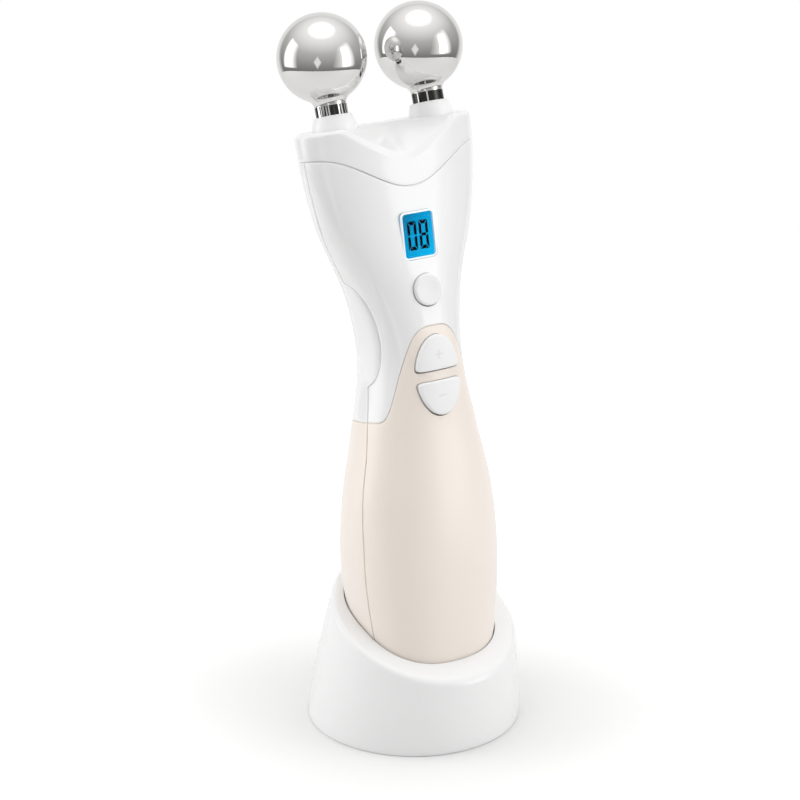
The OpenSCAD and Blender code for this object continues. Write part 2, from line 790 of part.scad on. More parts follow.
module power_button() {
    r = power_d / 2;
    face = -front_y(0, power_s) + proud;
    back = -inner_y(r + flange, power_s) - 0.15;
    stem = -board_y + plunger_top;
    dish = 0.25;
    color(white) in_handset() facing_front(power_s) rotate_extrude($fn = 64)
        polygon(concat(
            [for (i = [0:6]) let (f = i / 6)
                [f * (r - 0.6), face - dish * (1 - f * f * (3 - 2 * f))]],
            [for (a = [60:-30:0]) [r - 0.6 + 0.6 * cos(a), face - 0.6 + 0.6 * sin(a)]],
            [[r, back], [r + flange, back], [r + flange, back - 0.8], [stem_d / 2, back - 0.8],
             [stem_d / 2, stem], [0, stem]]));
}

// Half of the keys' oval, its corners softened: up 1 is the upper key, grown by a clearance
key_points = 40;
key_soft = 9;

function key_outline(up, grow = 0, shrink = 0) =
    let (a = keys_w / 2 + grow, b = keys_l / 2 + grow, low = keys_gap / 2 - grow,
         c = mix(low, b, 0.42))
    [for (k = [0:key_points - 1])
        let (t = (k + 0.5) * 360 / key_points, dx = cos(t), dy = sin(t),
             qa = pow(dx / a, 2) + pow(dy / b, 2), qb = c * dy / (b * b),
             qc = pow(c / b, 2) - 1,
             oval = (-qb + sqrt(qb * qb - qa * qc)) / qa,
             flat_r = dy < -0.01 ? (low - c) / dy : 100,
             r = pow(pow(oval, -key_soft) + pow(flat_r, -key_soft), -1 / key_soft) - shrink)
        [r * dx * up, (c + r * dy) * up]];

function key_ring(up, shrink, below, scale_in = 1) =
    let (outline = key_outline(up, 0, shrink), c = [0, up * 5])
    [for (p = outline)
        let (q = [p[0] * scale_in, mix(c[1], p[1], scale_in)])
        [q[0], q[1], -front_y(q[0], keys_s + q[1]) + proud - below]];

module key(up) {
    place = up > 0 ? 1 : 2;
    back = -inner_y(keys_w / 2 + flange * 0.5, keys_s + up * key_centre) - 0.2;
    foot = [for (p = key_outline(up)) [p[0], p[1], back - 0.4]];
    stem = -board_y + plunger_top;
    color(white) in_handset() facing_front(keys_s) {
        ring_solid([foot, key_ring(up, 0, 0.6), key_ring(up, 0.18, 0.18), key_ring(up, 0.6, 0),
            key_ring(up, 0.6, 0, 0.66), key_ring(up, 0.6, 0, 0.33)]);
        translate([0, 0, back - 0.8]) linear_extrude(0.8)
            polygon(key_outline(up, flange * 0.8));
        translate([0, up * key_centre, stem]) cylinder(d = stem_d, h = back - stem, $fn = 32);
    }
}

module plus_key() { key(1); }
module minus_key() { key(-1); }

// Chips on the board's back: place across, height, width, length, thickness
chips = [[-3.5, 124, 7, 7, 1], [-6, 113, 4, 5, 1.4], [-7, 98, 5, 4, 1.2],
    [4, 134, 2.4, 1.4, 0.8], [4, 137.5, 2.4, 1.4, 0.8]];

module board_chips() {
    color("dimgray") in_handset() facing_front(0) for (c = chips)
        translate([c[0], c[1], -board_y - board_h - c[4]]) cube([c[2], c[3], c[4]]);
}

coil_r = 4;
coil_core_r = 2.6;
coil_h = 5;
coil_rim = 0.9;
coil_x = 3.5;
coil_s = 99;

module step_up_coil() {
    color("saddlebrown") in_handset() facing_front(coil_s)
        translate([coil_x, 0, -board_y - board_h - coil_h])
        rotate_extrude($fn = 48) polygon([[0, 0], [coil_r, 0], [coil_r, coil_rim],
            [coil_core_r, coil_rim], [coil_core_r, coil_h - coil_rim],
            [coil_r, coil_h - coil_rim], [coil_r, coil_h], [0, coil_h]]);
}

// ---- cell and foot ----

foot_round = 1.2;
foot_plate_h = 3;
foot_boss_h = 9;
cell_r = 7;
cell_l = 49;
cell_s = 14;
cell_y = -3.5;

module at_cell() {
    translate([0, cell_y, cell_s]) children();
}

module cell() {
    color("mediumseagreen") in_handset() at_cell() {
        cylinder(r = cell_r, h = cell_l, $fn = 64);
        translate([0, 0, cell_l]) cylinder(r = 2.6, h = 1, $fn = 32);
    }
}

// A half trough with end walls, standing on the foot plate
module cell_cradle() {
    end = 1.6;
    r = cell_r + 0.2;
    color("gainsboro") in_handset() difference() {
        union() {
            at_cell() translate([0, 0, -end]) cylinder(r = r + 1.5, h = cell_l + 2 * end + 1.2,
                $fn = 64);
            translate([-5, cell_y - 2, foot_plate_h + 0.1])
                cube([10, 6, cell_s - end - foot_plate_h]);
        }
        at_cell() translate([0, 0, -0.1]) cylinder(r = r, h = cell_l + 1.3, $fn = 64);
        at_cell() translate([-20, -20, -0.1]) cube([40, 19, cell_l + 1.3]);
    }
}

foot_screw_x = 9;
foot_screw_y = 6.3;

module foot_screw_places() {
    for (side = [-1, 1]) translate([side * foot_screw_x, foot_screw_y, 0]) children();
}

module foot_plate() {
    edge = [for (k = [0:71]) let (p = skin(k * 5, 0, wall + 0.25)) [p[0], p[1]]];
    color(ivory) in_handset() difference() {
        linear_extrude(foot_plate_h) polygon(edge);
        foot_screw_places() {
            translate([0, 0, -1]) cylinder(d = 2.4, h = 9, $fn = 24);
            translate([0, 0, -1])
                cylinder(d = screw_head_d + 0.4, h = 1 + screw_sunk + screw_head_h, $fn = 32);
        }
        for (x = [-1, 1]) translate([x * pin_pitch / 2, pin_y, -1]) {
            cylinder(d = plate_d + 0.1, h = 1 + plate_h, $fn = 32);
            cylinder(d = plate_stem_d + 0.1, h = 2 * plate_stem_l, $fn = 24);
        }
    }
}

foot_screw_l = 10;
screw_head_d = 4.2;
screw_head_h = 1.4;
screw_sunk = 0.2;

module foot_screws() {
    color(steel) in_handset() foot_screw_places() {
        translate([0, 0, screw_sunk]) cylinder(d = screw_head_d, h = screw_head_h, $fn = 32);
        cylinder(d = screw_core - 0.1, h = foot_screw_l, $fn = 24);
    }
}

pin_y = -1.4;
plate_d = 6;
plate_h = 0.8;
plate_stem_d = 2;
plate_stem_l = 5;

module charge_plates() {
    color("gold") in_handset() for (x = [-1, 1]) translate([x * pin_pitch / 2, pin_y, 0]) {
        cylinder(d = plate_d, h = plate_h, $fn = 32);
        cylinder(d = plate_stem_d, h = plate_stem_l, $fn = 24);
    }
}

// ---- stand ----

top_rise = tan(top_slope);
shell_low = 0.6;
stand_cols = 48;
floor_h = 1.6;
plate_top = 3;
plate_gap = 0.15;
stand_boss_r = 3;
floor_gap = 0.35;
pin_rest_gap = 0.15;

function stand_t(j) = 180 - j * 360 / stand_cols;
function plane_z(y) = top_height + top_rise * y;

// Outer wall: a circle at the base, an ellipse on the sloping plane at the rim
function wall_ring(f, inset, drop) =
    [for (j = [0:stand_cols - 1])
        let (t = stand_t(j), y = -rim_front - (rim_half_d - inset) * sin(t),
             a = [(base_r - inset) * cos(t), -(base_r - inset) * sin(t), shell_low],
             b = [(rim_half_w - inset) * cos(t), y, plane_z(y) - drop])
        mix(a, b, f) + 0.5 * sin(180 * f) * [cos(t), -sin(t), 0]];

// Outline of the wall at height z
function wall_outline(z, inset) =
    let (low = wall_ring(0, inset, 0), high = wall_ring(1, inset, 0))
    [for (j = [0:stand_cols - 1])
        let (p = mix(low[j], high[j], (z - low[j][2]) / (high[j][2] - low[j][2])))
        [p[0], p[1]]];

// Height at which the handset's skin, grown by gap, crosses the plane lowered by drop
function open_s(t, gap, drop, s = 25, n = 10) =
    let (p = to_world(skin(t, s, -gap)))
    n == 0 ? s
    : open_s(t, gap, drop, s + (plane_z(p[1]) - drop - p[2]) * 0.9, n - 1);

function pocket_ring(f, gap, drop, low) =
    [for (j = [0:stand_cols - 1])
        let (t = stand_t(j), s = mix(open_s(t, gap, drop), low, f))
        to_world(skin(t, max(s, low), -gap))];

function between(a, b, f) = [for (j = [0:len(a) - 1]) mix(a[j], b[j], f)];

module stand_body() {
    lip_edge = 0.2;
    crest = wall_ring(1, rim_round, 0);
    mouth = pocket_ring(0, pocket_gap + lip_edge, 0, 0);
    roof = rim_round + stand_wall;
    outer = concat(
        [wall_ring(0, 0.3, 0)],
        [for (f = [0.02, 0.2, 0.4, 0.6, 0.8]) wall_ring(f, 0, rim_round)],
        [wall_ring(1, 0, rim_round), wall_ring(1, 0.13 * rim_round, 0.5 * rim_round),
         wall_ring(1, 0.5 * rim_round, 0.13 * rim_round), crest,
         between(crest, mouth, 0.5), mouth],
        [for (f = [0, 0.25, 0.5, 0.75, 1])
            pocket_ring(f, pocket_gap, lip_edge, -floor_gap)]);
    inner = concat(
        [for (f = [0, 0.3, 0.6]) wall_ring(f, stand_wall, roof)],
        [wall_ring(0.88, stand_wall, roof)],
        [for (f = [0.15, 0.5, 1])
            pocket_ring(f, pocket_gap + stand_wall, roof, -floor_gap - floor_h)]);
    cup_solid(outer, inner);
}

// One screw in front under the pocket, two at the back against the wall
stand_screw_r = base_r - stand_wall - stand_boss_r - 2;
stand_screw_angle = 35;
stand_boss_h = 12;
stand_screws = [[0, 4.4 - stand_screw_r],
    for (side = [-1, 1]) stand_screw_r * [side * cos(stand_screw_angle), sin(stand_screw_angle)]];

module stand_screw_places() {
    for (p = stand_screws) translate([p[0], p[1], 0]) children();
}

// Distance of the middle of the wall from the stand's axis, at angle a and height z
function wall_reach(a, z) =
    let (i = stand_wall / 2, y = (rim_half_d - i) * sin(a) - rim_front,
         low = [(base_r - i) * cos(a), (base_r - i) * sin(a), shell_low],
         high = [(rim_half_w - i) * cos(a), y, plane_z(y)])
    mix(low, high, (z - low[2]) / (high[2] - low[2])) * [cos(a), sin(a), 0];

// Rib from a rear boss to the stand's wall
module stand_rib(side) {
    reach = [for (z = [plate_top, plate_top + stand_boss_h])
        wall_reach(stand_screw_angle, z) - stand_screw_r];
    rotate([0, 0, side > 0 ? stand_screw_angle : 180 - stand_screw_angle])
        translate([stand_screw_r, rib_w / 2, plate_top]) rotate([90, 0, 0])
        linear_extrude(rib_w)
        polygon([[0, 0], [reach[0], 0], [reach[1], stand_boss_h], [0, stand_boss_h]]);
}

// Height of the pocket floor's underside above the table
function under_floor(y) =
    foot_height - (y + foot_front) * tan(lean) - (floor_gap + floor_h) / cos(lean);

module stand_shell() {
    color(white) difference() {
        union() {
            stand_body();
            for (p = stand_screws) translate([p[0], p[1], plate_top])
                cylinder(r = stand_boss_r, $fn = 32,
                    h = p[0] == 0 ? under_floor(p[1] - stand_boss_r) - plate_top
                        : stand_boss_h);
            for (side = [-1, 1]) stand_rib(side);
        }
        stand_screw_places()
            cylinder(d = base_screw_d + 0.1, h = base_screw_low + base_screw_l + 2, $fn = 24);
        translate([0, inlet_y - inlet_l, inlet_z]) rotate([-90, 0, 0])
            cylinder(d = socket_d + 0.4, h = 2 * inlet_l, $fn = 48);
        in_handset() for (x = [-1, 1]) translate([x * pin_pitch / 2, pin_y, -5])
            cylinder(d = pin_d + 0.3, h = 10, $fn = 32);
    }
}

module base_plate() {
    color("gainsboro") difference() {
        translate([0, 0, pad_h]) linear_extrude(plate_top - pad_h)
            polygon(wall_outline(plate_top, stand_wall + plate_gap));
        stand_screw_places() {
            cylinder(d = base_screw_d + 0.9, h = 3 * plate_top, $fn = 24);
            cylinder(d = base_head_d + 0.4, h = base_screw_low + base_head_h, $fn = 32);
        }
    }
}

module rubber_pad() {
    color("dimgray") cylinder(r = base_r - 4, h = pad_h, $fn = 96);
}

base_screw_d = 1.9;
base_screw_l = 7;
base_head_d = 4.6;
base_head_h = 1.1;
base_screw_low = pad_h + 0.1;

module base_screws() {
    color(steel) stand_screw_places() translate([0, 0, base_screw_low]) {
        cylinder(d = base_head_d, h = base_head_h, $fn = 32);
        cylinder(d = base_screw_d, h = base_screw_l, $fn = 24);
    }
}

socket_d = 7;
flange_l = 5.6;
bore_l = 9.2;
inlet_l = 12.2;
inlet_w = 9;
inlet_sunk = 0.4;

// Centre of the stand's outer wall at the back, at the inlet's height
inlet_y = base_r - (base_r - rim_half_d + rim_front) * inlet_z
    / plane_z(rim_half_d - rim_front);

charge_board_z = 4.6;
charge_board_h = 1.2;
charge_board_w = 20;
charge_board_l = 17;
board_end_y = inlet_y - inlet_sunk - flange_l - 0.6;
post_r = 1.4;
post_in = 2;

// Stands on four posts and carries the inlet
module charge_board() {
    color("seagreen") {
        translate([-charge_board_w / 2, board_end_y - charge_board_l, charge_board_z])
            cube([charge_board_w, charge_board_l, charge_board_h]);
        for (x = [-1, 1], y = [board_end_y - post_in, board_end_y - charge_board_l + post_in])
            translate([x * (charge_board_w / 2 - post_in), y, plate_top])
                cylinder(r = post_r, h = charge_board_z - plate_top + 0.4, $fn = 24);
    }
}

module charge_inlet() {
    face_y = inlet_y - inlet_sunk;
    body_top = inlet_z + socket_d / 2 + 0.5;
    body_low = charge_board_z + charge_board_h;
    color("black") difference() {
        union() {
            translate([0, face_y - flange_l, inlet_z]) rotate([-90, 0, 0])
                cylinder(d = socket_d, h = flange_l, $fn = 48);
            translate([-inlet_w / 2, face_y - inlet_l, body_low])
                cube([inlet_w, inlet_l - flange_l + 1, body_top - body_low]);
        }
        translate([0, face_y - bore_l, inlet_z]) rotate([-90, 0, 0])
            cylinder(d = inlet_d, h = 2 * bore_l, $fn = 48);
    }
}

// ---- charge pins ----

block_top = -floor_gap - floor_h - 0.05;
block_floor = 1;
flange_d = pin_d + 1.6;
flange_h = 0.8;
flange_low = block_top - 0.1 - flange_h;
// Length of a spring at rest, long enough for the pin's travel
spring_l = 5.25 * pin_travel;
spring_gap = 0.05;
pin_bore_low = flange_low - spring_gap - spring_l;
block_low = pin_bore_low - block_floor;
block_wall = 1.5;

module at_pin(side) {
    in_handset() translate([side * pin_pitch / 2, pin_y, 0]) children();
}

module pin_block() {
    w = flange_d + 0.2 + 2 * block_wall;
    l = flange_d + 0.2 + 1.4 * block_wall;
    color("dimgray") difference() {
        in_handset() translate([-pin_pitch / 2 - w / 2, pin_y - l / 2, block_low])
            cube([pin_pitch + w, l, block_top - block_low]);
        for (side = [-1, 1]) at_pin(side) {
            translate([0, 0, pin_bore_low]) cylinder(d = flange_d + 0.2, h = 20, $fn = 32);
            translate([0, 0, block_low - 5]) cylinder(d = 1.2, h = 20, $fn = 24);
        }
    }
}

module charge_pin(side) {
    color("gold") at_pin(side) {
        translate([0, 0, flange_low]) {
            cylinder(d = flange_d, h = flange_h, $fn = 32);
            cylinder(d = pin_d, h = -pin_rest_gap - flange_low, $fn = 32);
        }
    }
}

module left_pin() { charge_pin(-1); }
module right_pin() { charge_pin(1); }

module pin_spring(side) {
    color(steel) at_pin(side) translate([0, 0, pin_bore_low]) difference() {
        cylinder(d = flange_d - 0.4, h = spring_l, $fn = 32);
        translate([0, 0, -1]) cylinder(d = flange_d - 1.2, h = 20, $fn = 32);
    }
}

module left_spring() { pin_spring(-1); }
module right_spring() { pin_spring(1); }

head_cap();
front_shell();
rear_shell();
front_cover();
rear_cover();
foot_plate();
foot_screws();
left_probe();
right_probe();
left_collar();
right_collar();
probe_nuts();
contact_tabs();
display_bezel();
display_window();
display_glass();
backlight();
display_holder();
contact_strip();
main_board();
board_screws();
board_chips();
step_up_coil();
switch_bodies();
power_button();
plus_key();
minus_key();
power_plunger();
plus_plunger();
minus_plunger();
cell();
cell_cradle();
charge_plates();
stand_shell();
base_plate();
rubber_pad();
base_screws();
charge_board();
pin_block();
left_pin();
right_pin();
left_spring();
right_spring();
charge_inlet();
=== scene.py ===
"""Facial toning handset in its charging stand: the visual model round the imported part.

Lengths are millimetres in the handset's own frame, as in the part's source, and become
metres in the row frame when a mesh is made.
"""

import math
from functools import partial

import bmesh
import bpy
import numpy as np
from mathutils import Matrix, Vector


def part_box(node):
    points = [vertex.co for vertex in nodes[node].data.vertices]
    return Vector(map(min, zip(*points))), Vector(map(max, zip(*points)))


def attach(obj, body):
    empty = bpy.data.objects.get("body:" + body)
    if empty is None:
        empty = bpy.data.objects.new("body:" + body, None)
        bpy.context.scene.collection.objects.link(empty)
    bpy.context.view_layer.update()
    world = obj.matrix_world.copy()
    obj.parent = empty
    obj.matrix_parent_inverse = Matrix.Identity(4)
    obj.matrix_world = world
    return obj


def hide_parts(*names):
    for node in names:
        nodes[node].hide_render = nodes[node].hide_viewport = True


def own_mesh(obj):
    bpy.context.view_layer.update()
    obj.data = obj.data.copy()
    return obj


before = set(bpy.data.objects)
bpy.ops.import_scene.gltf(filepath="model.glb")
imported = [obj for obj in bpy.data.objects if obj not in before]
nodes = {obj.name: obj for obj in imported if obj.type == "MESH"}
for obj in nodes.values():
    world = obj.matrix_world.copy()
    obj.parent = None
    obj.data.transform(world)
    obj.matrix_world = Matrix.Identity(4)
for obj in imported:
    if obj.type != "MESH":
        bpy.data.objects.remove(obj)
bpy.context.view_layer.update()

# ---- dimensions ----
# s is a height on the handset's axis, t an angle round it in degrees (0 right, 90 front), and
# q the share of the way round a shell from one side seam to the other.

LEAN = 13.0
FOOT_FRONT = 7.9
FOOT_HEIGHT = 12.9
STATIONS = np.array([  # height, half width, half depth, centre
    [0, 16.9, 14.3, -1.4],
    [15, 19.9, 18.2, -1.5],
    [37, 22.4, 20.2, -3.3],
    [57, 21.5, 18.7, -6.3],
    [77, 17.4, 16.4, -9],
    [96, 14.1, 14.7, -11.5],
    [113, 16.2, 13.1, -12.6],
    [137, 24.6, 11, -13],
    [153, 27.3, 10.8, -13.2],
    [163, 27.8, 10.9, -13.2],
])
PARTING = np.array([  # height, y of the seam down each side
    [0, -3.2], [20, -6.2], [45, -9.9], [70, -11.9], [80, -11.8], [90, -11.2],
    [105, -11.3], [120, -11.9], [130, -12.1], [141, -13.4], [163, -14.5],
])
SQUARENESS = 2.4
WALL = 2.0
SEAM_GAP = 0.3
SEAM_ROUND = 0.2
TONGUE_DEPTH = 0.35
TONGUE_REACH = 0.25
FOOT_ROUND = 1.2
IVORY_S = 80.4
ARCH_RISE = 25.6
ARCH_HALF = 15.9
ARCH_FULLNESS = 1.8
CAP_LOW_S = 145.1
CAP_HIGH_S = 155.3
LOBE_S = 105.5
LOBE_LENGTH = 29.6
LOBE_REACH = 7.2
LOBE_DROP = 1.1
LOBE_EDGE = 0.5
FRONT_FADE = 0.2
REAR_FADE = 0.06
ROLL_FADE = 0.022

VALLEY_S = 153.3
VALLEY_RISE = 0.88
VALLEY_SIDE = 0.5
VALLEY_ROUND = 3.0
CAP_ROUND = 0.9
CAP_TOP = 3.0
BROW_S = 153.0
CAP_EDGE_S = 159.0
BROW_HALF = 27.3
CROWN_S = 163.0

BALL_R = 12.5
BALL_GAP = 32.0
BALL_RISE = 19.8
NECK_TILT = 6.0
NECK_FRONT = 13.5
NECK_R = 4.5
FLARE_R = 2.5
COLLAR_D = 12.8
COLLAR_TOP_D = 11.2
COLLAR_H = 3.7
COLLAR_SEAT = 1.3
COLLAR_EDGE = 0.5
SPIGOT_D = 10.6
SEAT_UNDER = 4.2
NECK_LOW = -2.6
STUD_R = 2.0
STUD_LOW = -8.6
FIT = 0.05

DISPLAY_S = 131.4
WINDOW_W = 9.6
WINDOW_L = 11.9
BEZEL_W = 0.7
BEZEL_CORNER = 1.5
BEZEL_STANDS = 0.4
BEZEL_H = 0.8
BEZEL_EDGE = 0.25
BEZEL_INNER_EDGE = 0.12
BEZEL_GAP = 0.04
LENS_GROWS = 0.3
LENS_CORNER = 0.95
LENS_EDGE = 0.15
LENS_STANDS = 0.25
LENS_H = 0.6
WINDOW_TILT = 2.4
DIGIT_Z = -0.44
DIGIT_H = 0.03
DIGIT_LOW, DIGIT_HIGH = 0.150, 0.829
DIGITS = ((0.160, 0.470, False), (0.554, 0.865, True))  # left, right, whether it is an 8
BAR_W = 0.86
BAR_H = 1.08
BAR_GAP = 0.15

POWER_S = 116.1
POWER_R = 4.5
BUTTON_GAP = 0.2
BUTTON_SHIFT = 0.09
KEY_OPENING_GAP = 0.26
KEY_SHIFT = 0.12
PROUD = 1.0
BUTTON_EDGE = 0.6
POWER_DISH = 0.25
POWER_BACK_GAP = 0.15
KEY_BACK_GAP = 0.2
KEYS_S = 92.1
KEYS_W = 14.2
KEYS_L = 22.8
KEYS_GAP = 3.0
KEY_CENTRE = 5.8
KEY_SOFT = 9
SIGN_HALF = 1.3
SIGN_BAR_HALF = 0.2
SIGN_STANDS = 0.05
SIGN_SINKS = 0.1
FLANGE = 0.8
FLANGE_H = 0.8
STEM_R = 1.7
STEM_LOW = 21.2
CUT_LENGTH = 60

BASE_R = 31.4
TOP_HEIGHT = 35.4
TOP_SLOPE = 22.8
RIM_HALF_W = 27.2
RIM_HALF_D = 26.5
RIM_FRONT = 5.0
RIM_ROUND = 1.8
STAND_WALL = 2.0
SHELL_LOW = 0.12
POCKET_GAP = 0.28
LIP_EDGE = 0.2
FLOOR_GAP = 0.35
FLOOR_H = 1.6
INLET_Z = 8.0
INLET_CUT_Y = 20
SOCKET_D = 7.0
SOCKET_GAP = 0.2
PIN_PITCH = 12.0
PIN_Y = -1.4
PIN_D = 2.0
PIN_GAP = 0.15
SPRING_TURNS = 6
SPRING_WIRE = 0.4
SPRING_OUTER_D = 3.2


# ---- frames ----

def move(x, y, z):
    m = np.eye(4)
    m[:3, 3] = (x, y, z)
    return m


def turn_x(degrees):
    c, s = math.cos(math.radians(degrees)), math.sin(math.radians(degrees))
    m = np.eye(4)
    m[1:3, 1:3] = ((c, -s), (s, c))
    return m


WORLD = np.eye(4)
HANDSET = move(0, -FOOT_FRONT, FOOT_HEIGHT) @ turn_x(-LEAN)


def facing_front(s):
    """Z points out of the front and Y up, at height s."""
    return HANDSET @ move(0, 0, s) @ turn_x(90)


def at_probe(side):
    return HANDSET @ move(side * BALL_GAP / 2, -NECK_FRONT, CROWN_S) @ turn_x(-NECK_TILT)


def placed(points, m):
    return np.asarray(points, float) @ m[:3, :3].T + m[:3, 3]


# ---- the handset's outline ----

def station_slopes():
    s = STATIONS[:, 0]
    secants = np.diff(STATIONS[:, 1:], axis=0) / np.diff(s)[:, None]
    steps = np.diff(s)[:, None]
    inner = (secants[:-1] * steps[1:] + secants[1:] * steps[:-1]) / (steps[1:] + steps[:-1])
    return np.vstack([secants[:1], inner, secants[-1:]])


SLOPES = station_slopes()


def section(s):
    """Half width, half depth and centre of the outline at height s."""
    s = np.asarray(s, float)
    i = np.clip(np.searchsorted(STATIONS[:, 0], s, side="right") - 1, 0, len(STATIONS) - 2)
    h = STATIONS[i + 1, 0] - STATIONS[i, 0]
    t = (s - STATIONS[i, 0]) / h
    out = []
    for k in range(3):
        a, b = STATIONS[i, k + 1], STATIONS[i + 1, k + 1]
        out.append((2 * t ** 3 - 3 * t ** 2 + 1) * a + (t ** 3 - 2 * t ** 2 + t) * h * SLOPES[i, k]
                   + (3 * t ** 2 - 2 * t ** 3) * b + (t ** 3 - t ** 2) * h * SLOPES[i + 1, k])
    return out


def squared(v):
    return np.sign(v) * np.abs(v) ** (2 / SQUARENESS)


def skin(t, s, sink=0.0):
    """Points of the skin at angle t in degrees (0 right, 90 front) and height s."""
    t, s, sink = np.broadcast_arrays(np.asarray(t, float), np.asarray(s, float),
                                     np.asarray(sink, float))
    half_w, half_d, centre = section(s)
    r = np.radians(t)
    return np.stack([(half_w - sink) * squared(np.cos(r)),
                     centre - (half_d - sink) * squared(np.sin(r)), s], axis=-1)


def skin_y(x, s, side, sink=0.0):
    half_w, half_d, centre = section(s)
    r = np.minimum(np.abs(x) / (half_w - sink), 1)
    return centre + side * (half_d - sink) * (1 - r ** SQUARENESS) ** (1 / SQUARENESS)


def front_y(x, s):
    return skin_y(x, s, -1)


def angle_of_y(y, s):
    _, half_d, centre = section(s)
    r = (centre - y) / half_d
    return np.degrees(np.sign(r) * np.arcsin(np.minimum(np.abs(r), 1) ** (SQUARENESS / 2)))


def parting_y(s):
    return np.interp(s, PARTING[:, 0], PARTING[:, 1])


def side_angle(s):
    return angle_of_y(parting_y(s), s)


def lobe(s):
    return np.sqrt(np.maximum(0, 1 - ((s - LOBE_S) / (LOBE_LENGTH / 2)) ** 2))


def lobe_angle(s):
    return angle_of_y(parting_y(s) - LOBE_REACH * lobe(s), s) - side_angle(s)


def arch(x):
    share = np.minimum(np.abs(x) / ARCH_HALF, 1) ** ARCH_FULLNESS
    return ARCH_RISE * (1 + np.cos(math.pi * share)) / 2


def cap_seam(t):
    x = np.minimum(np.abs(skin(t, CAP_HIGH_S)[..., 0]) / BROW_HALF, 1)
    dip = CAP_LOW_S + (CAP_HIGH_S - CAP_LOW_S) * (1 - np.cos(math.pi * x)) / 2
    return np.where(np.sin(np.radians(t)) > 0, dip, CAP_HIGH_S)


def gap_angle(s):
    return np.degrees(SEAM_GAP / 2 / section(s)[0])


def mix(a, b, f):
    return a + (b - a) * f


def front_place(q, s, lobed):
    near = np.minimum(q, 1 - q)
    a = side_angle(s) + gap_angle(s)
    t = a + near * (180 - 2 * a)
    if lobed:
        t = t + lobe_angle(s) * np.clip(1 - near / FRONT_FADE, 0, 1)
    return np.where(q > 0.5, t, 180 - t)


def rear_place(q, s, lobed):
    near = np.minimum(q, 1 - q)
    a = side_angle(s) - gap_angle(s)
    t = mix(a, -90, near * 2)
    if lobed:
        t = t + lobe_angle(s) * np.clip(1 - near / REAR_FADE, 0, 1)
    return np.where(q > 0.5, -180 - t, t)


def rear_drop(q, s):
    """The lobe's edge rolls down steeply beside the front shell."""
    u = 1 - np.clip(np.minimum(q, 1 - q) / ROLL_FADE, 0, 1)
    return LOBE_DROP * lobe(s) * (1 - np.sqrt(1 - u * u * 0.98))


def ivory_line(q):
    s = np.full(np.shape(q), IVORY_S)
    for _ in range(24):
        s = mix(s, IVORY_S + arch(skin(front_place(q, s, False), s)[..., 0]), 0.5)
    return s


# ---- meshes ----

def grid_faces(rows, cols, first=0, around=False):
    faces = []
    for i in range(rows - 1):
        for j in range(cols if around else cols - 1):
            a, b = first + i * cols + j, first + i * cols + (j + 1) % cols
            faces.append((a, b, b + cols, a + cols))
    return faces


def border(rows, cols):
    """Indices round the edge of a grid, in order."""
    return (list(range(cols))
            + [i * cols + cols - 1 for i in range(1, rows)]
            + [(rows - 1) * cols + j for j in range(cols - 2, -1, -1)]
            + [i * cols for i in range(rows - 2, 0, -1)])


def loop_strip(a, b):
    n = len(a)
    return [(a[k], b[k], b[(k + 1) % n], a[(k + 1) % n]) for k in range(n)]


def thick_patch(outer, inner):
    rows, cols = outer.shape[:2]
    n = rows * cols
    edge = border(rows, cols)
    faces = (grid_faces(rows, cols) + [f[::-1] for f in grid_faces(rows, cols, n)]
             + loop_strip(edge, [n + k for k in edge]))
    return np.vstack([outer.reshape(-1, 3), inner.reshape(-1, 3)]), faces


def ring_solid(rings):
    """Rings closed by a fan at each end."""
    rings = np.asarray(rings, float)
    rows, cols = rings.shape[:2]
    n = rows * cols
    faces = grid_faces(rows, cols, 0, True)
    faces += [(n, (j + 1) % cols, j) for j in range(cols)]
    faces += [(n + 1, n - cols + j, n - cols + (j + 1) % cols) for j in range(cols)]
    return np.vstack([rings.reshape(-1, 3), rings[0].mean(0), rings[-1].mean(0)]), faces


def ring_loop(rings):
    """Rings joined last to first."""
    rings = np.asarray(rings, float)
    rows, cols = rings.shape[:2]
    faces = grid_faces(rows, cols, 0, True)
    last = (rows - 1) * cols
    faces += [(last + j, last + (j + 1) % cols, (j + 1) % cols, j) for j in range(cols)]
    return rings.reshape(-1, 3), faces


def revolved(profile, count):
    """A profile of [radius, height] turned round Z: from axis to axis, or a closed loop."""
    t = np.arange(count) * 2 * math.pi / count
    rings = [np.stack([r * np.cos(t), r * np.sin(t), np.full(count, z)], axis=-1)
             for r, z in profile]
    if profile[0][0] > 0:
        return ring_loop(rings)
    body = ring_solid(rings[1:-1])
    body[0][-2] = (0, 0, profile[0][1])
    body[0][-1] = (0, 0, profile[-1][1])
    return body


def joined(*parts):
    verts, faces, first = [], [], 0
    for v, f in parts:
        verts.append(np.asarray(v, float))
        faces += [tuple(k + first for k in face) for face in f]
        first += len(v)
    return np.vstack(verts), faces


def flat_ring(outline, z):
    return np.column_stack([outline, np.full(len(outline), z)])


def quarter_round(r, degrees):
    """Steps inward and down from a rounded edge's corner, at angles from its side face."""
    return [(r * (1 - math.cos(a)), r * (1 - math.sin(a))) for a in np.radians(degrees)]


def prism(outline, low, high):
    outline = np.asarray(outline, float)
    rings = [flat_ring(outline, z) for z in (low, high)]
    n = len(outline)
    faces = grid_faces(2, n, 0, True) + [tuple(range(n))[::-1], tuple(range(n, 2 * n))]
    return np.vstack(rings), faces


def circle(r, count=64):
    t = np.arange(count) * 2 * math.pi / count
    return np.stack([r * np.cos(t), r * np.sin(t)], axis=-1)


def rounded_rect(w, l, r, steps=8):
    points = []
    for k, (x, y) in enumerate(((1, 1), (-1, 1), (-1, -1), (1, -1))):
        for a in np.linspace(k * 90, k * 90 + 90, steps + 1):
            points.append((x * (w / 2 - r) + r * math.cos(math.radians(a)),
                           y * (l / 2 - r) + r * math.sin(math.radians(a))))
    return np.array(points)


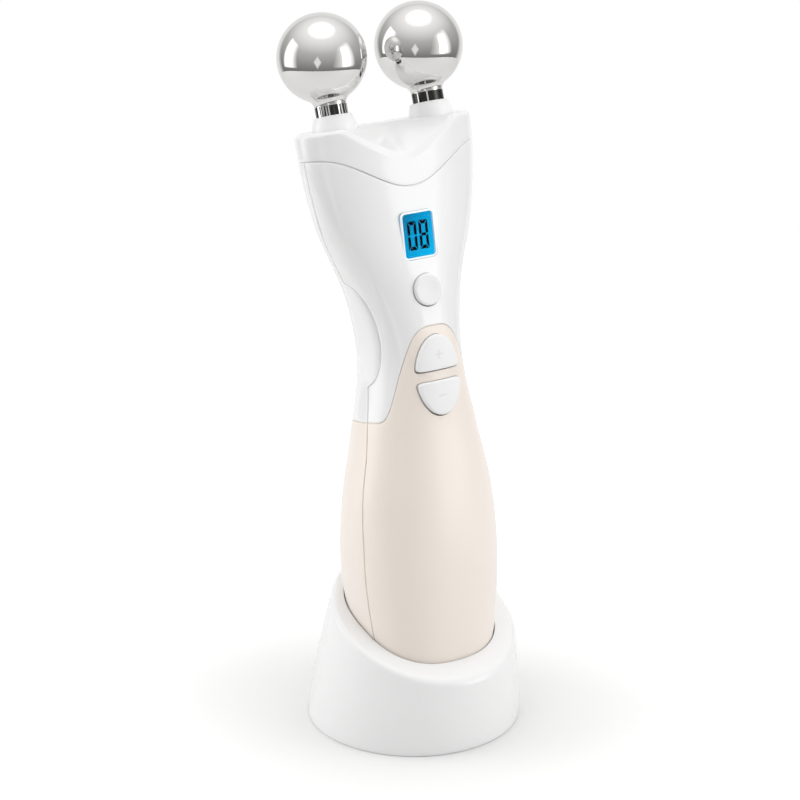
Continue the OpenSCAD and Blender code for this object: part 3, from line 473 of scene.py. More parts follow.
def shade(mesh, sharp):
    mesh.polygons.foreach_set("use_smooth", [True] * len(mesh.polygons))
    mesh.set_sharp_from_angle(angle=math.radians(sharp))


def make(name, shape, m, sharp=40.0):
    """A mesh object in the row frame from points in the frame m, in millimetres."""
    verts, faces = shape
    mesh = bpy.data.meshes.new(name)
    mesh.from_pydata((placed(verts, m) * 0.001).tolist(), [], faces)
    bm = bmesh.new()
    bm.from_mesh(mesh)
    bmesh.ops.remove_doubles(bm, verts=bm.verts, dist=1e-7)
    bmesh.ops.recalc_face_normals(bm, faces=bm.faces)
    bm.to_mesh(mesh)
    bm.free()
    shade(mesh, sharp)
    obj = bpy.data.objects.new(name, mesh)
    bpy.context.scene.collection.objects.link(obj)
    return obj


def cut(obj, cutters, sharp=40.0):
    """Takes the cutters' shapes out of obj."""
    tools = [make("cutter", shape, m) for shape, m in cutters]
    for tool in tools:
        mod = obj.modifiers.new("cut", "BOOLEAN")
        mod.operation = "DIFFERENCE"
        mod.solver = "EXACT"
        mod.object = tool
    bpy.context.view_layer.update()
    graph = bpy.context.evaluated_depsgraph_get()
    mesh = bpy.data.meshes.new_from_object(obj.evaluated_get(graph))
    obj.modifiers.clear()
    old = obj.data
    obj.data = mesh
    bpy.data.meshes.remove(old)
    for tool in tools:
        bpy.data.objects.remove(tool)
    shade(mesh, sharp)


def finish_piece(obj, body, material, slot, *replaced):
    obj.data.materials.clear()
    obj.data.materials.append(material)
    if replaced:
        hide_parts(*replaced)
    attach(obj, body)


# ---- materials ----

def feed_socket(tree, socket, value):
    """Sets an input to a value, or links it to another node's output."""
    if isinstance(value, bpy.types.NodeSocket):
        tree.links.new(value, socket)
    else:
        socket.default_value = value


def feed(tree, node, **inputs):
    """Feeds a node's inputs by name, with _ for a space."""
    for key, value in inputs.items():
        feed_socket(tree, node.inputs[key.replace("_", " ")], value)


def add_node(tree, kind, **inputs):
    node = tree.nodes.new(kind)
    feed(tree, node, **inputs)
    return node


def new_material(name, base, roughness, **sockets):
    mat = bpy.data.materials.new(name)
    mat.use_nodes = True
    tree = mat.node_tree
    bsdf = tree.nodes["Principled BSDF"]
    feed(tree, bsdf, Base_Color=(*base, 1), Roughness=roughness, **sockets)
    return mat, tree, bsdf


def mapped(tree, vector, scale=(1, 1, 1), tilt=0.0):
    return add_node(tree, "ShaderNodeMapping", Vector=vector, Scale=scale,
                    Rotation=(math.radians(tilt), 0, 0)).outputs["Vector"]


def object_coords(tree):
    return add_node(tree, "ShaderNodeTexCoord").outputs["Object"]


def noise(tree, vector, scale, detail=2.0, rough=0.5):
    return add_node(tree, "ShaderNodeTexNoise", Vector=vector, Scale=scale, Detail=detail,
                    Roughness=rough).outputs["Fac"]


def to_range(tree, value, low, high, from_low=0.3, from_high=0.7):
    return add_node(tree, "ShaderNodeMapRange", Value=value, From_Min=from_low,
                    From_Max=from_high, To_Min=low, To_Max=high).outputs["Result"]


def arithmetic(tree, operation, *values, kind="ShaderNodeMath"):
    """The result of a maths node, whose inputs are fed in order."""
    node = add_node(tree, kind)
    node.operation = operation
    for socket, value in zip(node.inputs, values):
        feed_socket(tree, socket, value)
    return node.outputs["Value"]


def ramp(tree, value, stops):
    node = add_node(tree, "ShaderNodeValToRGB", Fac=value)
    elements = node.color_ramp.elements
    while len(elements) < len(stops):
        elements.new(0.5)
    for element, (pos, color) in zip(elements, stops):
        element.position = pos
        element.color = (*color, 1)
    return node.outputs["Color"]


def bump(tree, bsdf, height, strength, distance):
    node = add_node(tree, "ShaderNodeBump", Height=height, Strength=strength, Distance=distance)
    feed(tree, bsdf, Normal=node.outputs["Normal"])


def plastic(name, base, roughness, spread=0.03, grain=900.0, grain_depth=0.0, tint=0.012,
            **sockets):
    """Moulded plastic: faint flow shading and, if asked for, uneven gloss and a fine grain."""
    mat, tree, bsdf = new_material(name, base, roughness, **sockets)
    vector = object_coords(tree)
    dark = tuple(c * (1 - tint) for c in base)
    light = tuple(min(1.0, c * (1 + tint)) for c in base)
    flow = ramp(tree, noise(tree, vector, 22.0, 3.0), [(0.3, dark), (0.7, light)])
    feed(tree, bsdf, Base_Color=flow)
    if spread:
        feed(tree, bsdf, Roughness=to_range(tree, noise(tree, vector, 70.0, 4.0),
                                            roughness - spread, roughness + spread))
    if grain_depth:
        bump(tree, bsdf, noise(tree, vector, grain, 2.0, 0.6), 0.5, grain_depth)
    return mat


def metal(name, base, roughness, spread=0.03, tint=0.03):
    """Metal with uneven polish."""
    mat, tree, bsdf = new_material(name, base, roughness, Metallic=1.0)
    field = noise(tree, object_coords(tree), 120.0, 4.0, 0.6)
    dark = tuple(c * (1 - tint) for c in base)
    feed(tree, bsdf, Base_Color=ramp(tree, field, [(0.35, dark), (0.65, base)]),
         Roughness=to_range(tree, field, roughness, roughness + spread))
    return mat


def board_material():
    """Solder mask with fine tracks and pads."""
    mat, tree, bsdf = new_material("board_mask", (0.03, 0.22, 0.1), 0.35)
    vector = object_coords(tree)
    bricks = add_node(tree, "ShaderNodeTexBrick", Vector=vector, Scale=260.0, Mortar_Size=0.03,
                      Color1=(0.02, 0.2, 0.09, 1), Color2=(0.03, 0.24, 0.11, 1),
                      Mortar=(0.08, 0.36, 0.18, 1))
    feed(tree, bsdf, Base_Color=bricks.outputs["Color"],
         Roughness=to_range(tree, noise(tree, vector, 300.0), 0.28, 0.42))
    return mat


def coil_material():
    """Enamelled wire wound round a ferrite bobbin, with painted shade in the grooves between the
    windings.
    """
    mat, tree, bsdf = new_material("coil_wire", (0.4, 0.16, 0.06), 0.3)
    wave = add_node(tree, "ShaderNodeTexWave", Vector=object_coords(tree), Scale=1500.0)
    wave.bands_direction = "Y"
    turns_and_groove_shade = wave.outputs["Fac"]
    feed(tree, bsdf, Base_Color=ramp(tree, turns_and_groove_shade, [(0.2, (0.12, 0.05, 0.03)),
                                                   (0.8, (0.55, 0.24, 0.09))]))
    bump(tree, bsdf, turns_and_groove_shade, 0.4, 0.0001)
    return mat


def neck_material():
    """Dark steel whose pale lines along the neck's leaning axis are painted reflections of the
    lights.
    """
    mat, tree, bsdf = new_material("neck_steel", (0.05, 0.05, 0.05), 0.1, Metallic=1.0)
    upright = mapped(tree, object_coords(tree), tilt=LEAN + NECK_TILT)
    # Painted reflections: the pale lines in the base colour stand in for the lights that the neck
    # reflects.
    painted_reflection_streaks = noise(tree, mapped(tree, upright, (1, 1, 0.02)), 620.0, 3.0, 0.7)
    dark, painted_reflection_white = [(0.3, (0.03, 0.03, 0.028)), (0.56, (0.06, 0.058, 0.055))], (0.9, 0.9, 0.9)
    feed(tree, bsdf, Base_Color=ramp(tree, painted_reflection_streaks, dark + [(0.6, painted_reflection_white), (0.7, painted_reflection_white)]))
    return mat


def display_material():
    """The lit layer behind the digits: blue, darker at the top and left."""
    mat, tree, bsdf = new_material("display_blue", (0.0, 0.02, 0.04), 0.5,
                                   Specular_IOR_Level=0.0, Emission_Strength=1.0)
    split = add_node(tree, "ShaderNodeSeparateXYZ", Vector=object_coords(tree))
    across = to_range(tree, split.outputs["X"], 0.0, 0.5, -0.0045, 0.0045)
    low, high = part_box("display_glass")
    up = to_range(tree, split.outputs["Z"], 0.5, 0.0, low.z, high.z)
    blues = [(0.1, (0.006, 0.19, 0.37)), (0.45, (0.004, 0.32, 0.62)), (0.9, (0.005, 0.44, 0.80))]
    feed(tree, bsdf, Emission_Color=ramp(tree, arithmetic(tree, "ADD", across, up), blues))
    return mat


def lens_material():
    """A coated lens that hardly reflects."""
    mat, tree, bsdf = new_material("lens_clear", (0.97, 0.99, 1.0), 0.02,
                                   Transmission_Weight=1.0, IOR=1.05)
    feed(tree, bsdf, Roughness=to_range(tree, noise(tree, object_coords(tree), 60.0), 0.02, 0.04))
    return mat


def floor_material():
    """A pale table top that the camera sees brighten away from the object."""
    mat, tree, bsdf = new_material("floor_pale", (0.79, 0.788, 0.784), 0.9)
    reach = arithmetic(tree, "LENGTH", object_coords(tree), kind="ShaderNodeVectorMath")
    path = add_node(tree, "ShaderNodeLightPath")
    glow = arithmetic(tree, "MULTIPLY", to_range(tree, reach, 0.02, 0.6, 0.035, 0.2),
                      path.outputs["Is Camera Ray"])
    feed(tree, bsdf, Emission_Color=(1, 1, 1, 1), Emission_Strength=glow)
    return mat


WHITE = plastic("white_gloss", (0.86, 0.86, 0.86), 0.12, 0.02, Coat_Weight=0.5,
                Coat_Roughness=0.05)
IVORY = plastic("ivory_satin", (0.86, 0.78, 0.705), 0.34, 0.0, tint=0.003, Coat_Weight=0.25,
                Coat_Roughness=0.15, Sheen_Weight=0.4, Sheen_Roughness=0.6)
STAND = plastic("stand_gloss", (0.86, 0.86, 0.86), 0.1, 0.02, Coat_Weight=0.5,
                Coat_Roughness=0.05)
BUTTON = plastic("button_satin", (0.86, 0.86, 0.862), 0.4, 0.03, 1600.0, 0.00001,
                 Specular_IOR_Level=0.25)
SIGN = plastic("button_sign", (0.77, 0.77, 0.775), 0.4)
MILKY = plastic("milky_bush", (0.92, 0.92, 0.92), 0.3, 0.03)
MIRROR = metal("mirror_steel", (0.75, 0.742, 0.73), 0.02, 0.02, tint=0.01)
NECK = neck_material()
STEEL = metal("plated_steel", (0.66, 0.67, 0.69), 0.25, 0.1)
BRASS = metal("gold_plate", (0.83, 0.62, 0.27), 0.18, 0.08)
GREY = plastic("grey_matt", (0.62, 0.62, 0.63), 0.5, 0.05, 1200.0, 0.00002)
DARK = plastic("dark_matt", (0.035, 0.035, 0.04), 0.5, 0.06, 1200.0, 0.00002)
SLEEVE = plastic("cell_sleeve", (0.08, 0.3, 0.18), 0.3, 0.05)
RUBBER = plastic("rubber_matt", (0.05, 0.05, 0.05), 0.7, 0.06, 800.0, 0.00004)
DIGIT = plastic("digit_black", (0.004, 0.006, 0.01), 0.6, Specular_IOR_Level=0.0)
# The display frame's faint cyan emission is a painted glow: the frame is white plastic, not a
# lamp.
FRAME_GLOW = plastic("frame_glow", (0.9, 0.93, 0.95), 0.2,
                     Emission_Color=(0.75, 0.92, 1.0, 1), Emission_Strength=0.12)
BOARD = board_material()
COIL = coil_material()
BLUE = display_material()
LENS = lens_material()

CAD_MATERIALS = {
    "foot_plate": IVORY, "foot_screws": STEEL, "probe_nuts": STEEL, "contact_tabs": BRASS,
    "display_glass": BLUE, "backlight": MILKY, "display_holder": GREY, "contact_strip": RUBBER,
    "main_board": BOARD, "board_screws": STEEL, "board_chips": DARK, "step_up_coil": COIL,
    "switch_bodies": DARK, "power_plunger": DARK, "plus_plunger": DARK, "minus_plunger": DARK,
    "cell": SLEEVE, "cell_cradle": GREY, "charge_plates": BRASS, "base_plate": GREY,
    "rubber_pad": RUBBER, "base_screws": STEEL, "charge_board": BOARD, "pin_block": DARK,
    "left_pin": BRASS, "right_pin": BRASS, "charge_inlet": DARK,
}
for node_name, mat in CAD_MATERIALS.items():
    nodes[node_name].data.materials.clear()
    nodes[node_name].data.materials.append(mat)


# ---- shells ----

ARC = (0, 20, 42, 66, 90)
NUDGE = 0.002  # of q, to measure how far the skin goes with it


def row_table(shares, low_round, tongue):
    """Rows of a shell: share of the way up, step up and depth, rounded at both ends."""
    rows = [(0, step, depth) for step, depth in quarter_round(low_round, ARC)]
    rows += [(f, 0, 0) for f in shares]
    rows += [(1, -step, depth) for step, depth in quarter_round(SEAM_ROUND, ARC[::-1])]
    if tongue:
        rows += [(1, 0, TONGUE_DEPTH), (1, TONGUE_REACH, TONGUE_DEPTH)]
    return np.array(rows)


def shell(shares, half_columns, low, high, place, drop, low_round, tongues, side_extra=0.0):
    """Outer and inner grids of a shell with rounded edges.

    tongues says whether the wall's lower part reaches across the gap at the top edge and at
    the side edges. side_extra adds to the side edges' rounding beside the lobe.
    """
    top_tongue, side_tongue = tongues
    rows = row_table(shares, low_round, top_tongue)
    half = np.asarray(half_columns)
    inner_q = np.concatenate([half, 1 - half[-2::-1]])
    q, rims = [], []
    near_edge = np.array([-NUDGE, 0.0, NUDGE])
    for share, step in rows[:, :2]:
        s = mix(low(near_edge), high(near_edge), share) + step
        p = skin(place(near_edge, s), s, drop(np.maximum(near_edge, 0), s))
        outward, inward = np.linalg.norm(np.diff(p, axis=0), axis=1) / NUDGE
        side_round = SEAM_ROUND + side_extra * float(lobe(s[1]))
        edge, rim = np.array(quarter_round(side_round, ARC)).T
        edge = edge / inward
        if side_tongue:
            edge = np.concatenate([[-TONGUE_REACH / outward, 0], edge])
            rim = np.concatenate([[TONGUE_DEPTH, TONGUE_DEPTH], rim])
        field = mix(edge[-1] * 1.6, 1 - edge[-1] * 1.6, inner_q)
        q.append(np.concatenate([edge, field, 1 - edge[::-1]]))
        rims.append(np.concatenate([rim, np.zeros(len(field)), rim[::-1]]))
    q = np.array(q)
    depth = np.maximum(np.array(rims), rows[:, 2:3])
    s = mix(low(q), high(q), rows[:, :1]) + rows[:, 1:2]
    t, d = place(q, s), drop(q, s)
    return thick_patch(skin(t, s, d + depth), skin(t, s, d + WALL))


def level(value):
    return lambda q: np.full(np.shape(q), value)


LOBE_ROWS = LOBE_S - LOBE_LENGTH / 2 * np.cos(np.radians(np.arange(0, 181, 5)))
WHITE_ROWS = np.concatenate([np.linspace(IVORY_S + 1.2, LOBE_ROWS[0] - 0.6, 8), LOBE_ROWS,
                             np.linspace(LOBE_ROWS[-1] + 0.8, CAP_HIGH_S - 1.2, 32)])
WHITE_SHARES = (WHITE_ROWS - IVORY_S) / (CAP_HIGH_S - IVORY_S)
IVORY_SHARES = np.linspace(0.02, 0.985, 72)
FRONT_HALF = np.concatenate([np.linspace(0, 0.2, 14)[:-1], np.linspace(0.2, 0.5, 26)])
REAR_HALF = np.concatenate([np.linspace(0, 0.024, 12)[:-1], np.linspace(0.024, 0.07, 9)[:-1],
                            np.linspace(0.07, 0.5, 28)])


front_ivory = partial(front_place, lobed=False)
rear_ivory = partial(rear_place, lobed=False)
front_white = partial(front_place, lobed=True)
rear_white = partial(rear_place, lobed=True)


def no_drop(q, s):
    return np.zeros(np.broadcast(q, s).shape)


def key_outline(up, grow=0.0, shrink=0.0, count=96):
    """Half of the keys' oval with softened corners."""
    a, b, low = KEYS_W / 2 + grow, KEYS_L / 2 + grow, KEYS_GAP / 2 - grow
    c = mix(low, b, 0.42)
    t = (np.arange(count) + 0.5) * 2 * math.pi / count
    dx, dy = np.cos(t), np.sin(t)
    qa = (dx / a) ** 2 + (dy / b) ** 2
    qb = c * dy / b ** 2
    qc = (c / b) ** 2 - 1
    oval = (-qb + np.sqrt(qb * qb - qa * qc)) / qa
    flat = np.where(dy < -0.01, (low - c) / np.minimum(dy, -0.01), 100.0)
    r = (oval ** -KEY_SOFT + flat ** -KEY_SOFT) ** (-1 / KEY_SOFT) - shrink
    return np.stack([r * dx * up, (c + r * dy) * up], axis=-1)


WINDOW = facing_front(DISPLAY_S) @ move(0, 0, -float(front_y(0, DISPLAY_S))) @ turn_x(WINDOW_TILT)
BEZEL_OUT_W = WINDOW_W + 2 * BEZEL_W
BEZEL_OUT_L = WINDOW_L + 2 * BEZEL_W


def front_shell():
    shape = shell(WHITE_SHARES, FRONT_HALF, lambda q: ivory_line(q) + SEAM_GAP / 2,
                  lambda q: cap_seam(front_white(q, CAP_HIGH_S)) - SEAM_GAP / 2,
                  front_white, no_drop, SEAM_ROUND, (True, False), LOBE_EDGE)
    obj = make("front_shell_skin", shape, HANDSET)
    opening = rounded_rect(BEZEL_OUT_W + 2 * BEZEL_GAP, BEZEL_OUT_L + 2 * BEZEL_GAP,
                           BEZEL_CORNER + BEZEL_GAP)
    cut(obj, [(prism(opening, -10, 10), WINDOW),
              (prism(circle(POWER_R + BUTTON_GAP, 96) - BUTTON_SHIFT, 0, CUT_LENGTH),
               facing_front(POWER_S))])
    finish_piece(obj, "handset", WHITE, "white_gloss", "front_shell")


def rear_shell():
    shape = shell(WHITE_SHARES, REAR_HALF, level(IVORY_S + SEAM_GAP / 2),
                  level(CAP_HIGH_S - SEAM_GAP / 2), rear_white, rear_drop, SEAM_ROUND,
                  (True, True))
    obj = make("rear_shell_skin", shape, HANDSET)
    finish_piece(obj, "handset", WHITE, "white_gloss", "rear_shell")


def front_cover():
    shape = shell(IVORY_SHARES, FRONT_HALF, level(0.0), lambda q: ivory_line(q) - SEAM_GAP / 2,
                  front_ivory, no_drop, FOOT_ROUND, (True, False))
    obj = make("front_cover_skin", shape, HANDSET)
    cut(obj, [(prism(key_outline(up, KEY_OPENING_GAP) - KEY_SHIFT, 0, CUT_LENGTH),
               facing_front(KEYS_S)) for up in (1, -1)])
    finish_piece(obj, "handset", IVORY, "ivory", "front_cover")


def rear_cover():
    shape = shell(IVORY_SHARES, REAR_HALF, level(0.0), level(IVORY_S - SEAM_GAP / 2),
                  rear_ivory, no_drop, FOOT_ROUND, (True, True))
    obj = make("rear_cover_skin", shape, HANDSET)
    finish_piece(obj, "handset", IVORY, "ivory", "rear_cover")


# ---- head cap ----

CAP_HALF = 120
CAP_FRONT_STEPS = 26
CAP_BACK_STEPS = 12
VALLEY_FRONT = float(front_y(0, VALLEY_S))


def valley_s(x, y):
    return (VALLEY_S + VALLEY_RISE * (y - VALLEY_FRONT)
            + VALLEY_SIDE * (np.sqrt(x * x + VALLEY_ROUND ** 2) - VALLEY_ROUND))


def cap_top_s(x, y, soft=0.35):
    v = valley_s(x, y)
    return (v + CROWN_S - np.sqrt((v - CROWN_S) ** 2 + soft ** 2)) / 2


def crease_y(x):
    return VALLEY_FRONT + (CROWN_S - VALLEY_S - VALLEY_SIDE
                           * (np.sqrt(x * x + VALLEY_ROUND ** 2) - VALLEY_ROUND)) / VALLEY_RISE


def cap_surface(edge, under, first):
    """Points and faces that close a ring with the cap's top, first being the ring's index."""
    n, front, steps = CAP_HALF, CAP_FRONT_STEPS, CAP_FRONT_STEPS + CAP_BACK_STEPS
    ring_first, field_first = first
    f, b = edge[1:n], edge[2 * n - 1:n:-1]
    x, deep = f[:, 0], b[:, 1] - f[:, 1]
    c = np.clip(crease_y(x), f[:, 1] + 0.15 * deep, f[:, 1] + 0.8 * deep)
    points = []
    for j in range(1, steps):
        if j < front:
            y = c - (c - f[:, 1]) * (1 - j / front) ** 1.5
        else:
            y = c + (b[:, 1] - c) * ((j - front) / (steps - front)) ** 1.5
        points.append(np.stack([x, y, cap_top_s(x, y) - under], axis=-1))
    field = np.stack(points, axis=1).reshape(-1, 3)

    def index(i, j):
        if j == 0:
            return ring_first + i
        if j == steps:
            return ring_first + 2 * n - i
        return field_first + (i - 1) * (steps - 1) + j - 1

    faces = [(index(i, j), index(i + 1, j), index(i + 1, j + 1), index(i, j + 1))
             for i in range(1, n - 1) for j in range(steps)]
    faces += [(ring_first, index(1, j), index(1, j + 1)) for j in range(steps)]
    faces += [(ring_first + n, index(n - 1, j + 1), index(n - 1, j)) for j in range(steps)]
    return field, faces


def head_cap():
    n = 2 * CAP_HALF
    t = 180 - np.arange(n) * 180 / CAP_HALF
    low = cap_seam(t) + SEAM_GAP / 2
    outer = [skin(t, low + step, depth) for step, depth in quarter_round(SEAM_ROUND, ARC)]
    rim = skin(t, BROW_S)
    top = cap_top_s(rim[:, 0], rim[:, 1]) - CAP_ROUND
    outer += [skin(t, mix(low + SEAM_ROUND, top, f)) for f in (0.15, 0.3, 0.45, 0.6, 0.75, 0.9)]
    for f in (0, 0.06, 0.5, 0.94, 1):
        depth = CAP_ROUND * f
        p = skin(t, CAP_EDGE_S, depth)
        s = cap_top_s(p[:, 0], p[:, 1]) - CAP_ROUND * (1 - f)
        outer.append(np.stack([p[:, 0], p[:, 1], s], axis=-1))
    p = skin(t, CAP_EDGE_S, WALL)
    under = np.stack([p[:, 0], p[:, 1], cap_top_s(p[:, 0], p[:, 1]) - CAP_TOP], axis=-1)
    inner = [skin(t, low, WALL), skin(t, mix(low, under[:, 2], 0.4), WALL), under]
    a, b = len(outer) * n, len(inner) * n
    top_field, top_faces = cap_surface(outer[-1], 0, (a - n, a + b))
    low_field, low_faces = cap_surface(under, CAP_TOP, (a + b - n, a + b + len(top_field)))
    faces = (grid_faces(len(outer), n, 0, True)
             + [f[::-1] for f in grid_faces(len(inner), n, a, True)]
             + loop_strip(list(range(n)), list(range(a, a + n)))
             + top_faces + [f[::-1] for f in low_faces])
    verts = np.vstack(outer + inner + [top_field, low_field])
    obj = make("head_cap_skin", (verts, faces), HANDSET)
    spigot_r, seat_r, above = SPIGOT_D / 2 + FIT, COLLAR_D / 2 + FIT, 7
    seat = [[0, -SEAT_UNDER - 1], [spigot_r, -SEAT_UNDER - 1], [spigot_r, -COLLAR_SEAT],
            [seat_r, -COLLAR_SEAT], [seat_r, above], [0, above]]
    cut(obj, [(revolved(seat, 128), at_probe(side)) for side in (-1, 1)])
    finish_piece(obj, "handset", WHITE, "white_gloss", "head_cap")


# ---- probes and collars ----

def probe(side, name):
    flare_x = NECK_R + FLARE_R
    flare_z = BALL_RISE - math.sqrt((BALL_R + FLARE_R) ** 2 - flare_x ** 2)
    turn = math.atan2(BALL_RISE - flare_z, flare_x)
    profile = [[0, STUD_LOW], [STUD_R, STUD_LOW], [STUD_R, NECK_LOW], [NECK_R, NECK_LOW],
               [NECK_R, 0], [NECK_R, COLLAR_H - 0.3], [NECK_R, mix(COLLAR_H, flare_z, 0.5)]]
    profile += [[flare_x - FLARE_R * math.cos(a), flare_z + FLARE_R * math.sin(a)]
                for a in np.linspace(0, turn, 20)]
    profile += [[BALL_R * math.cos(a), BALL_RISE + BALL_R * math.sin(a)]
                for a in np.linspace(-turn, math.pi / 2, 90)[1:-1]]
    profile += [[0, BALL_RISE + BALL_R]]
    obj = make(name + "_turned", revolved(profile, 144), at_probe(side))
    finish_piece(obj, "handset", MIRROR, "mirror_steel", name)
    obj.data.materials.append(NECK)
    local = np.linalg.inv(at_probe(side))
    for face in obj.data.polygons:
        z = placed(np.array(face.center) * 1000, local)[2]
        face.material_index = 1 if z < flare_z else 0


def collar(side, name):
    bore, stud_bore, top_r = NECK_R + FIT, STUD_R + FIT, COLLAR_TOP_D / 2
    profile = [[bore, COLLAR_H - 0.1], [bore + 0.1, COLLAR_H]]
    profile += [[top_r - inward, COLLAR_H - down]
                for inward, down in quarter_round(COLLAR_EDGE, range(90, -1, -15))]
    profile += [[mix(top_r, COLLAR_D / 2, f), mix(COLLAR_H - COLLAR_EDGE, 0.4, f)]
                for f in (0.33, 0.66, 1)]
    profile += [[COLLAR_D / 2, -COLLAR_SEAT], [SPIGOT_D / 2, -COLLAR_SEAT],
                [SPIGOT_D / 2, -SEAT_UNDER], [stud_bore, -SEAT_UNDER],
                [stud_bore, NECK_LOW], [bore, NECK_LOW]]
    obj = make(name + "_bush", revolved(profile, 128), at_probe(side))
    finish_piece(obj, "handset", MILKY, "milky_plastic", name)


# ---- display ----

def rect_ring(w, l, corner, inset, z):
    return flat_ring(rounded_rect(w - 2 * inset, l - 2 * inset, max(corner - inset, 0.3)), z)


def display_bezel():
    ring = partial(rect_ring, BEZEL_OUT_W, BEZEL_OUT_L, BEZEL_CORNER)
    low, high = BEZEL_STANDS - BEZEL_H, BEZEL_STANDS
    inset = BEZEL_W - 0.2
    rings = [ring(inset, low), ring(0.1, low), ring(0, low + 0.1)]
    rings += [ring(inward, high - down)
              for inward, down in quarter_round(BEZEL_EDGE, (0, 22, 45, 68, 90))]
    rings += [ring(inset - inward, high - down)
              for down, inward in quarter_round(BEZEL_INNER_EDGE, (0, 30, 60, 90))]
    obj = make("display_frame", ring_loop(rings), WINDOW)
    finish_piece(obj, "handset", FRAME_GLOW, "white_gloss", "display_bezel")


def display_window():
    ring = partial(rect_ring, WINDOW_W + LENS_GROWS, WINDOW_L + LENS_GROWS, LENS_CORNER)
    rings = [ring(0, LENS_STANDS - LENS_H)]
    rings += [ring(inward, LENS_STANDS - down)
              for inward, down in quarter_round(LENS_EDGE, (0, 30, 60, 90))]
    obj = make("display_lens", ring_solid(rings), WINDOW)
    finish_piece(obj, "handset", LENS, "lens", "display_window")


def digit_bars(x0, x1, y0, y1, eight):
    """The mitred bars of an 8, or of a 0, in a box."""
    w, h, g = BAR_W, BAR_H, BAR_GAP
    middle = (y0 + y1) / 2
    top = [(x0 + g, y1), (x0 + w + g, y1 - h), (x1 - w - g, y1 - h), (x1 - g, y1)]
    left = [(x0, y1 - g), (x0, middle + 0.3), (x0 + w / 2, middle + g),
            (x0 + w, middle + h / 2), (x0 + w, y1 - h - g)]
    bars = [top, left, [(x0 + x1 - x, y) for x, y in left]]
    bars += [[(x, 2 * middle - y) for x, y in bar] for bar in bars]
    if eight:
        bars.append([(x0 + w / 2 + g, middle), (x0 + w + g, middle + h * 0.42),
                     (x1 - w - g, middle + h * 0.42), (x1 - w / 2 - g, middle),
                     (x1 - w - g, middle - h * 0.42), (x0 + w + g, middle - h * 0.42)])
    return bars


def display_digits():
    parts = []
    for left, right, eight in DIGITS:
        for bar in digit_bars(WINDOW_W * (left - 0.5), WINDOW_W * (right - 0.5),
                              WINDOW_L * (DIGIT_LOW - 0.5), WINDOW_L * (DIGIT_HIGH - 0.5),
                              eight):
            parts.append(prism(bar, DIGIT_Z, DIGIT_Z + DIGIT_H))
    obj = make("display_digits", joined(*parts), WINDOW)
    finish_piece(obj, "handset", DIGIT, "glass")


# ---- buttons ----

def power_button():
    r = POWER_R
    face = -float(front_y(0, POWER_S)) + PROUD
    back = -float(skin_y(r + FLANGE, POWER_S, -1, WALL)) - POWER_BACK_GAP
    under = back - FLANGE_H
    profile = [[0, STEM_LOW], [STEM_R, STEM_LOW], [STEM_R, under], [r + FLANGE, under],
               [r + FLANGE, back], [r, back], [r, mix(back, face - BUTTON_EDGE, 0.5)]]
    profile += [[r - inward, face - down]
                for inward, down in quarter_round(BUTTON_EDGE, np.linspace(0, 90, 8))]
    profile += [[f * (r - BUTTON_EDGE), face - POWER_DISH * (1 - f * f * (3 - 2 * f))]
                for f in np.linspace(1, 0, 14)[1:]]
    obj = make("power_button_cap", revolved(profile, 96), facing_front(POWER_S))
    finish_piece(obj, "power_button", BUTTON, "button_white", "power_button")


def key_ring(up, shrink, below, scale=1.0):
    outline = key_outline(up, 0.0, shrink)
    x = outline[:, 0] * scale
    y = mix(up * 5.0, outline[:, 1], scale)
    return np.stack([x, y, -front_y(x, KEYS_S + y) + PROUD - below], axis=-1)


def key_body(up):
    back = -float(skin_y(KEYS_W / 2 + FLANGE * 0.5, KEYS_S + up * KEY_CENTRE, -1, WALL))
    back -= KEY_BACK_GAP
    wide, narrow = key_outline(up, FLANGE * 0.8), key_outline(up)
    rings = [flat_ring(wide, back - FLANGE_H), flat_ring(wide, back), flat_ring(narrow, back)]
    rings += [key_ring(up, inward, down)
              for inward, down in quarter_round(BUTTON_EDGE, np.linspace(0, 90, 7))]
    rings += [key_ring(up, BUTTON_EDGE, 0, f) for f in np.linspace(1, 0.08, 14)[1:]]
    top = ring_solid(rings)
    stem = prism(circle(STEM_R, 32) + [0, up * KEY_CENTRE], STEM_LOW, back - 0.4)
    return joined(top, stem)


def bar_on_key(x0, x1, y0, y1, steps=9):
    """A thin raised bar that follows the key's face."""
    xs, ys = np.linspace(x0, x1, steps), np.linspace(y0, y1, steps)
    gx, gy = np.meshgrid(xs, ys)
    z = -front_y(gx, KEYS_S + gy) + PROUD
    return thick_patch(np.stack([gx, gy, z + SIGN_STANDS], axis=-1),
                       np.stack([gx, gy, z - SIGN_SINKS], axis=-1))


def key(up, name):
    m = facing_front(KEYS_S)
    obj = make(name + "_cap", key_body(up), m)
    finish_piece(obj, name, BUTTON, "button_white", name)
    y = up * KEY_CENTRE
    half, thin = SIGN_HALF, SIGN_BAR_HALF
    bars = [bar_on_key(-half, half, y - thin, y + thin)]
    if up > 0:
        bars.append(bar_on_key(-thin, thin, y - half, y + half))
    sign = make(name + "_sign", joined(*bars), m)
    finish_piece(sign, name, SIGN, "button_white")


# ---- stand ----

STAND_COLS = 192
STAND_SHARP = 35.0
TOP_RISE = math.tan(math.radians(TOP_SLOPE))
STAND_T = 180 - np.arange(STAND_COLS) * 360 / STAND_COLS
STAND_COS, STAND_SIN = np.cos(np.radians(STAND_T)), np.sin(np.radians(STAND_T))


def plane_z(y):
    return TOP_HEIGHT + TOP_RISE * y


